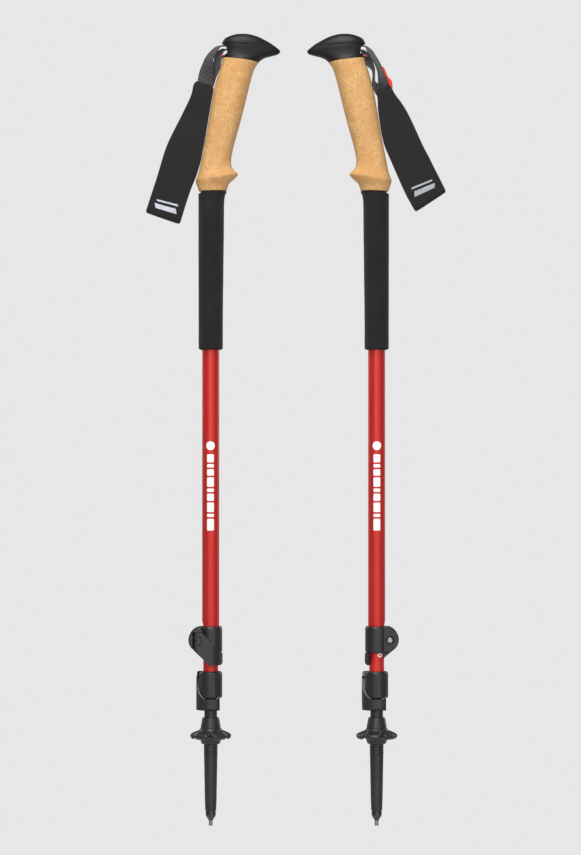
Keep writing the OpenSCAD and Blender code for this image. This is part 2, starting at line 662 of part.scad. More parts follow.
// ---- one pole; the right one is the same pole turned half round ----
module piece(p, right) {
    pad = right ? pad_right : pad_left;
    if (p == "grip_head") grip_head();
    if (p == "grip_core") grip_core();
    if (p == "cork_grip") cork_grip();
    if (p == "foam_sleeve") foam_sleeve();
    if (p == "strap_pin") strap_pin();
    if (p == "strap_wedge") strap_wedge();
    if (p == "strap_root") strap_root();
    if (p == "strap_webbing") strap_webbing(right ? strands_right : strands_left);
    if (p == "strap_pad") strap_pad(pad);
    if (p == "strap_tab") strap_tab(right ? tab_right : tab_left, right ? 2.3 : 0);
    if (p == "upper_tube") upper_tube();
    if (p == "upper_clamp") at_upper_clamp() clamp_body(upper_d, middle_d);
    if (p == "upper_lever") at_upper_clamp() lever();
    if (p == "upper_nut") at_upper_clamp() cross_nut();
    if (p == "upper_screw") at_upper_clamp() screw();
    if (p == "upper_shoe") at_upper_clamp() shoe();
    if (p == "middle_bushing") bushing(upper_d - 2 * tube_wall, middle_d - 2 * tube_wall, middle_tube_top);
    if (p == "middle_tube") rotate([0, 0, -90]) middle_tube();
    if (p == "lower_clamp") at_lower_clamp() clamp_body(middle_d, lower_d);
    if (p == "lower_lever") at_lower_clamp() lever();
    if (p == "lower_nut") at_lower_clamp() cross_nut();
    if (p == "lower_screw") at_lower_clamp() screw();
    if (p == "lower_shoe") at_lower_clamp() shoe();
    if (p == "lower_bushing") bushing(middle_d - 2 * tube_wall, lower_d - 2 * tube_wall, lower_tube_top);
    if (p == "lower_tube") lower_tube();
    if (p == "flex_tip") flex_tip();
    if (p == "tip_ferrule") tip_ferrule();
    if (p == "carbide_tip") carbide_tip();
    if (p == "basket") rotate([0, 0, right ? 15 : 0]) basket();
}

// The lower clamps of both poles face the same way, so the right pole's are turned back
function below(p) = len([for (q = ["middle_tube", "lower_clamp", "lower_lever", "lower_nut",
    "lower_screw", "lower_shoe"]) if (q == p) q]) > 0;

for (p = PIECES) {
    piece(p, false);
    translate([pole_gap, 0, 0]) rotate([0, 0, below(p) ? 0 : 180]) piece(p, true);
}
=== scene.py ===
import math
import bpy
import numpy as np
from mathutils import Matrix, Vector


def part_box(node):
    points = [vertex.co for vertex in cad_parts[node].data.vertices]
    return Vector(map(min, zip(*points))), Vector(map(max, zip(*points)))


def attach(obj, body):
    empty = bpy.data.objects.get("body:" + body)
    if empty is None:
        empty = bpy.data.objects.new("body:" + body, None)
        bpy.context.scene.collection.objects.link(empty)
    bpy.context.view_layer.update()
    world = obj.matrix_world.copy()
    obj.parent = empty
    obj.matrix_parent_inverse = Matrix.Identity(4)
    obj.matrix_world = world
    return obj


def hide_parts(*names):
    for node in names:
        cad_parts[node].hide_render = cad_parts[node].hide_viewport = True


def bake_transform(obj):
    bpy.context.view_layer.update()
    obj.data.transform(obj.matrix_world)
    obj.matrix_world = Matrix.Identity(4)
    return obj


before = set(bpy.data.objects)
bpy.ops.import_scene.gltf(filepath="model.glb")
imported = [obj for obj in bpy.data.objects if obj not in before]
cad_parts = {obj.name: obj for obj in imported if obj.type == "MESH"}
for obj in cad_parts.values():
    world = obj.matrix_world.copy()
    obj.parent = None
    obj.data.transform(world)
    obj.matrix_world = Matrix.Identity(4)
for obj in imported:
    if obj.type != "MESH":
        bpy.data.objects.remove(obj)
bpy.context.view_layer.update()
scene = bpy.context.scene
mm = 0.001
fullTurn = 2 * math.pi

# Where the two poles stand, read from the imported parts
tubeLow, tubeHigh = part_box("right_upper_tube")
poleGap = (tubeLow.x + tubeHigh.x) / 2 / mm
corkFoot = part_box("left_cork_grip")[0].z / mm
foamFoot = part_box("left_foam_sleeve")[0].z / mm
foamRadius = (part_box("left_foam_sleeve")[1].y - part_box("left_foam_sleeve")[0].y) / 2 / mm
upperRadius = (tubeHigh.y - tubeLow.y) / 2 / mm
middleLow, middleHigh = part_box("left_middle_tube")
middleRadius = (middleHigh.y - middleLow.y) / 2 / mm
print("frame loaded: poles", round(poleGap, 1), "mm apart, cork from", round(corkFoot, 1))


def smoothStep(t):
    # Cubic ease: three u squared less two u cubed, with u held between 0 and 1
    u = np.clip(t, 0, 1)
    return u * u * (3 - 2 * u)


def throughPoints(points, steps):
    # Catmull-Rom: each stretch is a cubic through its two ends, sloped along its neighbours' chord
    p = np.asarray(points, float)
    n = len(p)
    i = np.repeat(np.arange(n - 1), steps)
    t = np.tile(np.arange(steps) / steps, n - 1)[:, None]
    a, b, c, d = p[np.maximum(i - 1, 0)], p[i], p[i + 1], p[np.minimum(i + 2, n - 1)]
    curve = 0.5 * (2 * b + (c - a) * t + (2 * a - 5 * b + 4 * c - d) * t ** 2
                   + (3 * b - a - 3 * c + d) * t ** 3)
    return np.vstack([curve, p[-1:]])


def evenSpacing(path, gap, dims=3):
    # The same line with points a fixed distance apart, counted over its first dims columns
    run = np.r_[0, np.cumsum(np.linalg.norm(np.diff(path[:, :dims], axis=0), axis=1))]
    at = np.linspace(0, run[-1], max(2, int(round(run[-1] / gap)) + 1))
    return np.stack([np.interp(at, run, path[:, k]) for k in range(path.shape[1])], 1), at


def grain(p, size, seed=0):
    # Value noise: a hashed number at each corner of a cube lattice, blended smoothly inside it, -1 to 1
    q = np.asarray(p, float) / size + seed * 17.31
    cell = np.floor(q).astype(np.int64)
    f = q - cell
    f = f * f * (3 - 2 * f)
    total = np.zeros(q.shape[:-1])
    for corner in np.ndindex(2, 2, 2):
        k = cell + np.array(corner)
        h = (k[..., 0] * 374761393 + k[..., 1] * 668265263 + k[..., 2] * 2147483647 + seed * 1274126177)
        h = (h ^ (h >> 13)) * 1274126177
        value = ((h ^ (h >> 16)) & 0xFFFFFF) / 0xFFFFFF * 2 - 1
        share = np.prod(np.where(np.array(corner) == 1, f, 1 - f), axis=-1)
        total += value * share
    return total


def placed(points, side):
    # Millimetres in a pole's own frame to metres in the pair's: the right pole is turned half round
    p = np.asarray(points, float) * mm
    if side == "right":
        p = np.stack([poleGap * mm - p[..., 0], -p[..., 1], p[..., 2]], -1)
    return p


def gridFaces(rows, cols, wrapRows, wrapCols):
    # One quad for each point and its next row and column; a wrapped side also joins its last to its first
    r = np.arange(rows if wrapRows else rows - 1)[:, None]
    c = np.arange(cols if wrapCols else cols - 1)[None, :]
    r2, c2 = (r + 1) % rows, (c + 1) % cols
    return np.stack([r * cols + c, r * cols + c2, r2 * cols + c2, r2 * cols + c], -1).reshape(-1, 4)


def volumeOf(v, faces):
    # Sum of the signed tetrahedra between each face and the origin
    a, b, c, d = (v[faces[:, k]] for k in (0, 1, 2, 3))
    return (np.einsum("ij,ij->i", a, np.cross(b, c)) + np.einsum("ij,ij->i", a, np.cross(c, d))).sum()


def surface(name, grids, material, wrapRows=False, wrapCols=True, caps=True,
            uv=None, sharp=None, outward=True):
    # One object from several grids of points (rows, columns, xyz); open ends are closed with a fan
    verts, faces, fans, coords, base = [], [], [], [], 0
    for g, grid in enumerate(grids):
        rows, cols = grid.shape[:2]
        flat = grid.reshape(-1, 3)
        quads = gridFaces(rows, cols, wrapRows, wrapCols)
        tris = np.zeros((0, 4), int)
        if caps and wrapCols and not wrapRows:
            k = np.arange(cols)
            ends = np.stack([grid[0].mean(0), grid[-1].mean(0)])
            low = np.stack([(k + 1) % cols, k, np.full(cols, len(flat)), np.full(cols, len(flat))], 1)
            high = np.stack([(rows - 1) * cols + k, (rows - 1) * cols + (k + 1) % cols,
                             np.full(cols, len(flat) + 1), np.full(cols, len(flat) + 1)], 1)
            tris = np.vstack([low, high])
            flat = np.vstack([flat, ends])
        if outward and volumeOf(flat - flat.mean(0), np.vstack([quads, tris])) < 0:
            quads, tris = quads[:, ::-1], tris[:, [1, 0, 2, 3]]
        verts.append(flat)
        faces += (quads + base).tolist()
        fans += (tris[:, :3] + base).tolist()
        if uv is not None:
            coords.append(np.vstack([uv[g].reshape(-1, 2), np.zeros((len(flat) - rows * cols, 2))]))
        base += len(flat)
    mesh = bpy.data.meshes.new(name)
    mesh.from_pydata(np.vstack(verts).tolist(), [], faces + fans)
    if uv is not None:
        layer = mesh.uv_layers.new(name="along")
        index = np.zeros(len(mesh.loops), int)
        mesh.loops.foreach_get("vertex_index", index)
        layer.data.foreach_set("uv", np.vstack(coords)[index].ravel())
    mesh.shade_smooth()
    if sharp:
        mesh.set_sharp_from_angle(angle=math.radians(sharp))
    mesh.materials.append(material)
    piece = bpy.data.objects.new(name, mesh)
    scene.collection.objects.link(piece)
    return piece


def tone(r, g, b):
    c = np.array([r, g, b]) / 255
    return tuple(np.where(c <= 0.04045, c / 12.92, ((c + 0.055) / 1.055) ** 2.4)) + (1,)


class Finish:
    # A material whose nodes are added one line at a time
    def __init__(self, name, color, rough, metal=0.0, **extra):
        self.mat = bpy.data.materials.new(name)
        self.mat.use_nodes = True
        self.tree = self.mat.node_tree
        self.shader = self.tree.nodes["Principled BSDF"]
        self.shader.inputs["Base Color"].default_value = color
        self.shader.inputs["Roughness"].default_value = rough
        self.shader.inputs["Metallic"].default_value = metal
        for socket, value in extra.items():
            self.shader.inputs[socket.replace("_", " ")].default_value = value
        self.place = self.node("ShaderNodeTexCoord").outputs["Object"]
        self.bumped = None

    def node(self, kind, links=None, **values):
        made = self.tree.nodes.new(kind)
        for key, value in values.items():
            name = key.replace("_", " ")
            if name in made.inputs and not hasattr(made, key):
                made.inputs[name].default_value = value
            else:
                setattr(made, key, value)
        for name, socket in (links or {}).items():
            self.tree.links.new(socket, made.inputs[name])
        return made

    def stretched(self, scale, source=None):
        return self.node("ShaderNodeMapping", {"Vector": source or self.place}, Scale=scale).outputs[0]

    def noise(self, size, detail=3, vector=None, roughness=0.55):
        return self.node("ShaderNodeTexNoise", {"Vector": vector or self.place},
                         Scale=1 / size, Detail=detail, Roughness=roughness).outputs["Fac"]

    def cells(self, size, out="Distance", vector=None, feature="F1", randomness=1.0):
        return self.node("ShaderNodeTexVoronoi", {"Vector": vector or self.place},
                         feature=feature, Scale=1 / size, Randomness=randomness).outputs[out]

    def ramp(self, fac, stops):
        made = self.node("ShaderNodeValToRGB", {"Fac": fac})
        band = made.color_ramp
        while len(band.elements) < len(stops):
            band.elements.new(0.5)
        for spot, (at, value) in zip(band.elements, stops):
            spot.position = at
            spot.color = value if hasattr(value, "__len__") else (value, value, value, 1)
        return made.outputs["Color"]

    def sum(self, a, b, how="ADD"):
        made = self.node("ShaderNodeMath", operation=how)
        for k, v in enumerate((a, b)):
            if hasattr(v, "is_output"):
                self.tree.links.new(v, made.inputs[k])
            else:
                made.inputs[k].default_value = v
        return made.outputs[0]

    def mix(self, fac, a, b, how="MIX"):
        made = self.node("ShaderNodeMix", data_type="RGBA", blend_type=how)
        for k, v in ((0, fac), (6, a), (7, b)):
            if hasattr(v, "is_output"):
                self.tree.links.new(v, made.inputs[k])
            else:
                made.inputs[k].default_value = v
        return made.outputs[2]

    def feed(self, socket, value):
        self.tree.links.new(value, self.shader.inputs[socket])

    def roughness(self, fac, low, high):
        made = self.node("ShaderNodeMapRange", {"Value": fac})
        made.inputs["To Min"].default_value = low
        made.inputs["To Max"].default_value = high
        self.feed("Roughness", made.outputs[0])

    def bump(self, height, depth):
        links = {"Height": height}
        if self.bumped:
            links["Normal"] = self.bumped
        self.bumped = self.node("ShaderNodeBump", links, Strength=1.0, Distance=depth).outputs[0]
        self.feed("Normal", self.bumped)


def mouldedPlastic(name, color, light, rough, depth=0.00004, size=0.0007, shine=0.5):
    # Fine eroded mould texture, slow mottling of tone, and gloss that varies a little
    f = Finish(name, color, rough, IOR=1.48, Specular_IOR_Level=shine)
    slow = f.noise(0.03, 2)
    f.feed("Base Color", f.ramp(f.noise(0.012, 4), [(0.3, color), (0.72, light)]))
    f.roughness(f.sum(slow, f.noise(0.002, 3), "MULTIPLY"), rough - 0.06, rough + 0.22)
    f.bump(f.noise(size, 4), depth)
    return f.mat


leverBoss = {
    # mm: distance from the pole's axis, heights, and the inner and outer edges of the painted shade ring round
    # the boss
    "across": 11.9, "upperZ": 174.1, "lowerZ": 131.6, "ring": (2.8, 3.3, 4.7, 5.2),
}


def leverFinish(name, centre, axis):
    # The lever's moulded plastic, with painted shade in the recessed ring round the boss on its face: dark
    # where the distance from the boss's axis falls between the ring's edges
    f = Finish(name, tone(27, 25, 29), 0.34, IOR=1.48)
    f.roughness(f.noise(0.003, 3), 0.28, 0.5)
    x, y, z = f.node("ShaderNodeSeparateXYZ", {"Vector": f.place}).outputs
    side = f.sum(x if axis == "x" else y, centre[0], "SUBTRACT")
    away = f.sum(f.sum(side, 2.0, "POWER"), f.sum(f.sum(z, centre[1], "SUBTRACT"), 2.0, "POWER"))
    centimetres = f.sum(f.sum(away, 0.5, "POWER"), 100, "MULTIPLY")
    # painted shade: the ring round the boss is mixed to near black
    ring = f.ramp(centimetres, list(zip((edge / 10 for edge in leverBoss["ring"]), (0.0, 1.0, 1.0, 0.0))))
    plain = f.ramp(f.noise(0.012, 4), [(0.3, tone(26, 24, 28)), (0.72, tone(34, 32, 36))])
    f.feed("Base Color", f.mix(ring, plain, tone(6, 5, 6)))
    f.bump(f.noise(0.0006, 4), 0.00003)
    return f.mat


def corkFinish():
    # Pressed granules in close tones, a slow drift between straw and orange, small flecks of bark
    f = Finish("corkGranules", tone(214, 164, 106), 0.8, Specular_IOR_Level=0.28)
    shift = f.node("ShaderNodeTexNoise", {"Vector": f.place}, Scale=520, Detail=2).outputs["Color"]
    offset = f.node("ShaderNodeMapping", {"Vector": shift}, Scale=(0.0009, 0.0009, 0.0009)).outputs[0]
    moved = f.node("ShaderNodeVectorMath", {0: f.place, 1: offset}, operation="ADD").outputs[0]
    where = f.stretched((1, 1, 0.75), moved)
    granule = f.node("ShaderNodeTexVoronoi", {"Vector": where}, Scale=880).outputs["Color"]
    shade = f.node("ShaderNodeSeparateColor", {"Color": granule}).outputs[0]
    base = f.ramp(shade, [(0.0, tone(176, 130, 79)), (0.22, tone(186, 143, 90)),
                          (0.6, tone(191, 150, 98)), (1.0, tone(198, 162, 112))])
    orange = f.ramp(f.noise(0.011, 3), [(0.42, 0.0), (0.62, 0.6)])
    drift = f.mix(orange, base, tone(182, 132, 80))
    fleck = f.ramp(f.cells(0.0030, "Distance", where), [(0.09, 1.0), (0.16, 0.0)])
    patchy = f.sum(fleck, f.ramp(f.noise(0.007, 2), [(0.45, 0.05), (0.62, 0.75)]), "MULTIPLY")
    dark = f.mix(patchy, drift, tone(152, 92, 50))
    pores = f.ramp(f.cells(0.0014, "Distance", where), [(0.07, 1.0), (0.14, 0.0)])
    sparse = f.sum(pores, f.ramp(f.noise(0.003, 2), [(0.5, 0.0), (0.62, 0.6)]), "MULTIPLY")
    f.feed("Base Color", f.mix(sparse, dark, tone(134, 78, 42)))
    f.roughness(shade, 0.68, 0.9)
    edges = f.cells(0.0012, "Distance", where, feature="DISTANCE_TO_EDGE")
    f.bump(f.ramp(edges, [(0.0, 0.0), (0.14, 1.0)]), 0.00005)
    f.bump(f.noise(0.0004, 3), 0.00005)
    return f.mat


def foamFinish():
    # Closed-cell foam: pinprick cells, a slow dusty mottling and almost no gloss
    f = Finish("evaFoam", tone(26, 23, 26), 0.86,
               Sheen_Weight=0.04, Sheen_Roughness=0.6, Specular_IOR_Level=0.2)
    cell = f.cells(0.00075, "Distance")
    f.feed("Base Color", f.mix(f.ramp(f.noise(0.02, 4), [(0.35, 0.0), (0.7, 1.0)]),
                               tone(22, 19, 22), tone(29, 26, 29)))
    f.roughness(cell, 0.78, 0.95)
    f.bump(cell, 0.00009)
    f.bump(f.noise(0.003, 4), 0.00008)
    return f.mat


def wovenFinish(name, dark, light, pitchAlong, pitchAcross, depth, rough=0.8, sheen=0.2):
    # Threads over and under each other: two crossed waves along the piece's own UV, in metres; the colour
    # follows their height, with painted shade between threads and painted light on their crowns
    f = Finish(name, dark, rough, Sheen_Weight=sheen, Sheen_Roughness=0.5, Specular_IOR_Level=0.25)
    uv = f.node("ShaderNodeTexCoord").outputs["UV"]
    split = f.node("ShaderNodeSeparateXYZ", {"Vector": uv})
    warp = f.sum(f.sum(split.outputs[0], fullTurn / pitchAlong, "MULTIPLY"), 0, "SINE")
    weft = f.sum(f.sum(split.outputs[1], fullTurn / pitchAcross, "MULTIPLY"), 0, "SINE")
    weave = f.sum(f.sum(warp, weft, "MULTIPLY"), 1.0)
    height = f.sum(weave, 0.5, "MULTIPLY")
    # painted shade low in the weave and painted light on its crowns, broken up by random mottling
    shadeAndMottle = f.sum(height, f.noise(0.004, 4), "MULTIPLY")
    f.feed("Base Color", f.ramp(shadeAndMottle, [(0.05, dark), (0.6, light)]))
    f.roughness(f.noise(0.002, 3), rough - 0.08, rough + 0.1)
    f.bump(height, depth)
    f.bump(f.noise(0.0005, 3), depth * 0.4)
    return f.mat


def webbingFinish(pitch, slant):
    # Slanting ribs of thread: painted light on their crowns and painted shade, nearly black, between them; the
    # same wave as the mesh
    f = Finish("ribbedWebbing", tone(24, 22, 24), 0.7,
               Sheen_Weight=0.15, Sheen_Roughness=0.4, Specular_IOR_Level=0.4)
    uv = f.node("ShaderNodeTexCoord").outputs["UV"]
    x, y, _ = f.node("ShaderNodeSeparateXYZ", {"Vector": uv}).outputs
    phase = f.sum(f.sum(x, f.sum(y, slant, "MULTIPLY")), fullTurn / pitch, "MULTIPLY")
    rib = f.sum(f.sum(f.sum(phase, 0, "SINE"), 1.0), 0.5, "MULTIPLY")
    thread = f.noise(0.0008, 4, f.stretched((1, 1, 1), uv))
    # colour from the rib's height: painted shade in the grooves, painted light on the crowns
    f.feed("Base Color", f.ramp(f.sum(rib, thread, "MULTIPLY"),
                                [(0.06, tone(14, 13, 14)), (0.5, tone(74, 71, 74))]))
    f.roughness(thread, 0.55, 0.8)
    f.bump(rib, 0.00012)
    f.bump(thread, 0.00004)
    return f.mat


def tipFinish():
    # Rubbery black plastic, with painted shade in the grooves of the thread the basket screws up
    f = Finish("tipPlastic", tone(33, 31, 36), 0.42, IOR=1.48)
    z = f.node("ShaderNodeSeparateXYZ", {"Vector": f.place}).outputs[2]
    wave = f.sum(f.sum(f.sum(z, fullTurn / 0.0028, "MULTIPLY"), 0, "SINE"), 0.1, "GREATER_THAN")
    span = f.sum(f.sum(z, 0.0665, "GREATER_THAN"), f.sum(z, 0.0768, "LESS_THAN"), "MULTIPLY")
    groove = f.sum(wave, span, "MULTIPLY")
    plain = f.ramp(f.noise(0.012, 4), [(0.3, tone(28, 26, 31)), (0.72, tone(36, 34, 39))])
    # painted shade: near black bands where the wave along the height is high, inside the threaded span
    f.feed("Base Color", f.mix(f.sum(groove, 0.85, "MULTIPLY"), plain, tone(9, 8, 10)))
    f.roughness(f.noise(0.002, 3), 0.36, 0.56)
    f.bump(f.noise(0.0007, 4), 0.00004)
    return f.mat


def anodised(name, color, deep, rough, prints=None, metal=0.35):
    # Drawn aluminium under dye: hair-fine lines along the tube, faint blotches in tone and gloss
    f = Finish(name, color, rough, metal, Coat_Weight=0.08, Coat_Roughness=0.3)
    lines = f.noise(0.0006, 4, f.stretched((1, 1, 0.012)))
    base = f.mix(f.ramp(lines, [(0.3, 0.0), (0.7, 1.0)]), deep, color)
    base = f.mix(f.ramp(f.noise(0.02, 3), [(0.4, 0.0), (0.75, 0.25)]), base, deep)
    if prints:
        base = prints(f, base)
    f.feed("Base Color", base)
    f.roughness(f.noise(0.0012, 3, f.stretched((1, 1, 0.05))), rough - 0.07, rough + 0.1)
    f.bump(lines, 0.000006)
    return f.mat


def metalFinish(name, color, rough, turned=0.0006):
    # Machined metal: turning marks across the axis and smudges that dull the polish
    f = Finish(name, color, rough, 1.0)
    marks = f.noise(turned, 3, f.stretched((0.04, 0.04, 1)))
    f.feed("Base Color", f.mix(f.ramp(f.noise(0.006, 4), [(0.35, 0.0), (0.75, 0.5)]), color,
                               tuple(c * 0.6 for c in color[:3]) + (1,)))
    f.roughness(f.noise(0.003, 4), rough - 0.08, rough + 0.16)
    f.bump(marks, 0.000008)
    return f.mat


def reflectiveFilm():
    # Silver film pressed in a fine honeycomb, a little darker between the cells
    f = Finish("reflectiveFilm", tone(196, 200, 208), 0.34, 0.35)
    comb = f.cells(0.0009, "Distance", randomness=0.15)
    f.feed("Base Color", f.mix(f.ramp(comb, [(0.3, 0.0), (0.7, 0.5)]),
                               tone(150, 153, 160), tone(112, 115, 124)))
    f.roughness(f.noise(0.004, 3), 0.26, 0.46)
    f.bump(comb, 0.00002)
    return f.mat


markLook = {
    # metres: spacing, and (half length, thickness) of the short and long lines
    "step": 0.01, "longStep": 0.05, "short": (0.0016, 0.0005), "long": (0.0034, 0.0009),
    "middle": (0.17, 0.5), "lower": (0.13, 0.46),
}


def scaleMarks(reach, gap):
    # Lines across a tube every step, longer ones every longStep, on the side that faces the viewer
    look = markLook

    def draw(f, base):
        split = f.node("ShaderNodeSeparateXYZ", {"Vector": f.place})
        x, y, z = split.outputs
        near = f.sum(y, 0.0, "LESS_THAN")

        def ticks(every, half, thick):
            beat = f.sum(f.sum(z, every, "MODULO"), thick, "LESS_THAN")
            nearer = f.sum(f.sum(f.sum(x, gap, "SUBTRACT"), 0, "ABSOLUTE"), half, "LESS_THAN")
            return f.sum(beat, nearer, "MULTIPLY")

        short, tall = ticks(look["step"], *look["short"]), ticks(look["longStep"], *look["long"])
        span = f.sum(f.sum(z, reach[0], "GREATER_THAN"), f.sum(z, reach[1], "LESS_THAN"), "MULTIPLY")
        mask = f.sum(f.sum(f.sum(short, tall, "MAXIMUM"), span, "MULTIPLY"), near, "MULTIPLY")
        return f.mix(mask, base, tone(226, 222, 222))
    return draw


redDye, deepRed = tone(186, 32, 23), tone(171, 25, 19)
finishes = {
    "headRubber": mouldedPlastic("headRubber", tone(15, 13, 15), tone(20, 18, 20), 0.50, 0.00004, 0.0005,
                                 shine=0.26),
    "innerPlastic": mouldedPlastic("innerPlastic", tone(40, 38, 40), tone(50, 47, 50), 0.5),
    "cork": corkFinish(),
    "foam": foamFinish(),
    "webbing": webbingFinish(0.0019, 0.34),
    "pad": wovenFinish("paddedCloth", tone(20, 18, 20), tone(29, 27, 29), 0.0008, 0.0008, 0.00003, 0.86, 0.14),
    "tab": wovenFinish("redTape", tone(178, 34, 20), tone(218, 58, 34), 0.0007, 0.0006, 0.00004, 0.7, 0.15),
    # the strap wedge's red is darkened to the tone it shows inside the slot: painted shade
    "redPlasticPaintedShade": mouldedPlastic("redPlasticPaintedShade", tone(122, 26, 16), tone(138, 34, 20), 0.42),
    "clampPlastic": mouldedPlastic("clampPlastic", tone(24, 22, 26), tone(32, 30, 34), 0.36, 0.00005, 0.0005),
    "tipPlastic": tipFinish(),
    "basketPlastic": mouldedPlastic("basketPlastic", tone(27, 25, 29), tone(35, 33, 37), 0.38),
    "steel": metalFinish("steel", tone(176, 176, 180), 0.28),
    "ferrule": metalFinish("ferruleMetal", tone(84, 80, 84), 0.26),
    "carbide": metalFinish("carbide", tone(150, 146, 150), 0.38, 0.0004),
    "upperTube": anodised("redAnodised", redDye, deepRed, 0.46, metal=0.35),
    "film": reflectiveFilm(),
}
printWhite = Finish("whitePrint", tone(226, 222, 222), 0.5)
printWhite.feed("Base Color", printWhite.ramp(printWhite.noise(0.0009, 4),
                                              [(0.3, tone(214, 208, 208)), (0.6, tone(234, 231, 231))]))
printWhite.bump(printWhite.noise(0.0004, 3), 0.00001)
finishes["print"] = printWhite.mat
print("finishes made:", len(finishes))


def ovalRings(stations, sides, corner=0.88):
    # Station: rear x, rear z, front x, front z, half width, taper. A ring is an oval between its rear and
    # front points, its corners filled by a power under one, and pinched towards the front by the taper
    s = np.asarray(stations, float)[:, None, :]
    a = np.arange(sides) / sides * 2 * np.pi
    c = np.sign(np.cos(a)) * np.abs(np.cos(a)) ** corner
    n = np.sign(np.sin(a)) * np.abs(np.sin(a)) ** corner
    middle, reach = (s[..., 0:2] + s[..., 2:4]) / 2, (s[..., 2:4] - s[..., 0:2]) / 2
    x = middle[..., 0] + reach[..., 0] * c
    z = middle[..., 1] + reach[..., 1] * c + corkFoot
    y = s[..., 4] * n * (1 - s[..., 5] * (1 + c) / 2)
    return np.stack([x, y, z], -1)


def grownStations(stations, by):
    # Each oval made larger by the given amount, along its own length and across it
    s = np.array(stations, float)
    d = s[:, 2:4] - s[:, 0:2]
    d /= np.linalg.norm(d, axis=1, keepdims=True)
    by = np.broadcast_to(by, len(s))
    s[:, 0:2] -= d * by[:, None]
    s[:, 2:4] += d * by[:, None]
    s[:, 4] += by
    return s


gripHead = {
    "stations": [
        (11.2, 125.6, 45.2, 121.2, 14.6, 0.00), (10.9, 127.6, 47.2, 123.2, 14.8, 0.12),
        (10.5, 129.8, 51.2, 125.4, 15.0, 0.26), (10.3, 132.0, 58.0, 127.2, 15.3, 0.40),
        (10.2, 134.2, 63.4, 128.8, 15.8, 0.49), (10.2, 136.2, 65.2, 130.8, 16.3, 0.52),
        (10.3, 137.8, 65.0, 132.4, 16.5, 0.52), (10.6, 139.4, 61.6, 135.4, 15.9, 0.47),
        (11.6, 141.4, 55.6, 139.6, 14.6, 0.38), (13.6, 143.8, 47.0, 144.2, 12.0, 0.26),
        (17.8, 145.8, 41.2, 146.4, 9.2, 0.16), (23.0, 147.4, 35.6, 147.7, 5.4, 0.06),
        (28.4, 148.0, 30.2, 148.0, 0.8, 0.00)],
    "sides": 220, "steps": 9,
    "slotHalf": 8.4, "slotLow": 128.0, "slotHigh": 138.2, "slotDepth": 24.0, "lip": 0.55,
    "slotCorner": 1.6, "slotPinch": 0.012, "rearTo": 22,
    "pinX": 30.9, "pinZ": 135.3, "pinRadius": 1.2, "pinSink": 0.25,
    "notchDeep": 1.3, "notchFoot": 127.9, "notchTop": 134.2, "notchTo": 24,
    "creaseRear": 138.9, "creaseFall": 0.05, "creaseSoft": 0.9, "creaseStep": 0.055, "creaseTo": 62,
    "lineDeep": 0.02, "lineWide": 0.45, "lineTo": 60,
}


def makeHead(side):
    # Rings from the cork up to the crown. The strap's slot is pushed in from the rear, where a point lies
    # inside a rounded rectangle in y and z
    s = gripHead
    rings = ovalRings(throughPoints(s["stations"], s["steps"]), s["sides"])
    x, y, z = rings[..., 0], rings[..., 1], rings[..., 2] - corkFoot
    notch = s["notchDeep"] * smoothStep((z - s["notchFoot"]) / 1.2) * smoothStep((s["notchTop"] - z) / 2.2)
    rings[..., 0] += notch * smoothStep((s["notchTo"] - x) / 12)
    crease = s["creaseRear"] - (x - 10) * s["creaseFall"]
    over = smoothStep((z - crease + s["creaseSoft"] / 2) / s["creaseSoft"])
    over = over * smoothStep((s["creaseTo"] - x) / 20)
    rings[..., 1] *= 1 + (over - 1) * s["creaseStep"] * smoothStep((z - 121) / 8)
    line = s["lineDeep"] * np.exp(-((z - crease) / s["lineWide"]) ** 2)
    rings[..., 1] *= 1 - line * smoothStep((s["lineTo"] - x) / 20)
    centre, tall = (s["slotLow"] + s["slotHigh"]) / 2, (s["slotHigh"] - s["slotLow"]) / 2
    soft = s["slotCorner"]
    qy, qz = np.abs(y) - s["slotHalf"] + soft, np.abs(z - centre) - tall + soft
    away = np.hypot(np.maximum(qy, 0), np.maximum(qz, 0)) + np.minimum(np.maximum(qy, qz), 0) - soft
    rear = x < s["rearTo"]
    push = smoothStep(0.5 - away / (2 * s["lip"])) * s["slotDepth"] * rear
    rings[..., 0] += push
    rings[..., 1] *= 1 - s["slotPinch"] * smoothStep(0.5 - np.abs(away) / 3) * rear
    near = (np.abs(x - s["pinX"]) < 1.6) & (np.abs(z - s["pinZ"]) < 1.2) & (y > 0)
    wall = float(y[near].max())
    head = surface(side + "GripHead", [placed(rings, side)], finishes["headRubber"])
    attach(head, side + "_upper")
    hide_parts(side + "_grip_head")
    # Cross pin whose domed ends show in the head's sides
    r, end = s["pinRadius"], wall - s["pinSink"]
    profile = np.array([(0.05, 0.0), (0.5, -0.03), (0.85, -0.12), (1.0, -0.35)])
    radii = np.r_[profile[:, 0], profile[::-1, 0]] * r
    along = np.r_[-end - profile[:, 1], (end + profile[:, 1])[::-1]]
    a = np.linspace(0, 2 * np.pi, 28, endpoint=False)
    pin = np.stack([s["pinX"] + radii[:, None] * np.cos(a), np.broadcast_to(along[:, None], (8, 28)),
                    s["pinZ"] + corkFoot + radii[:, None] * np.sin(a)], -1)
    rod = surface(side + "StrapPin", [placed(pin, side)], finishes["steel"])
    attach(rod, side + "_upper")
    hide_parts(side + "_strap_pin")


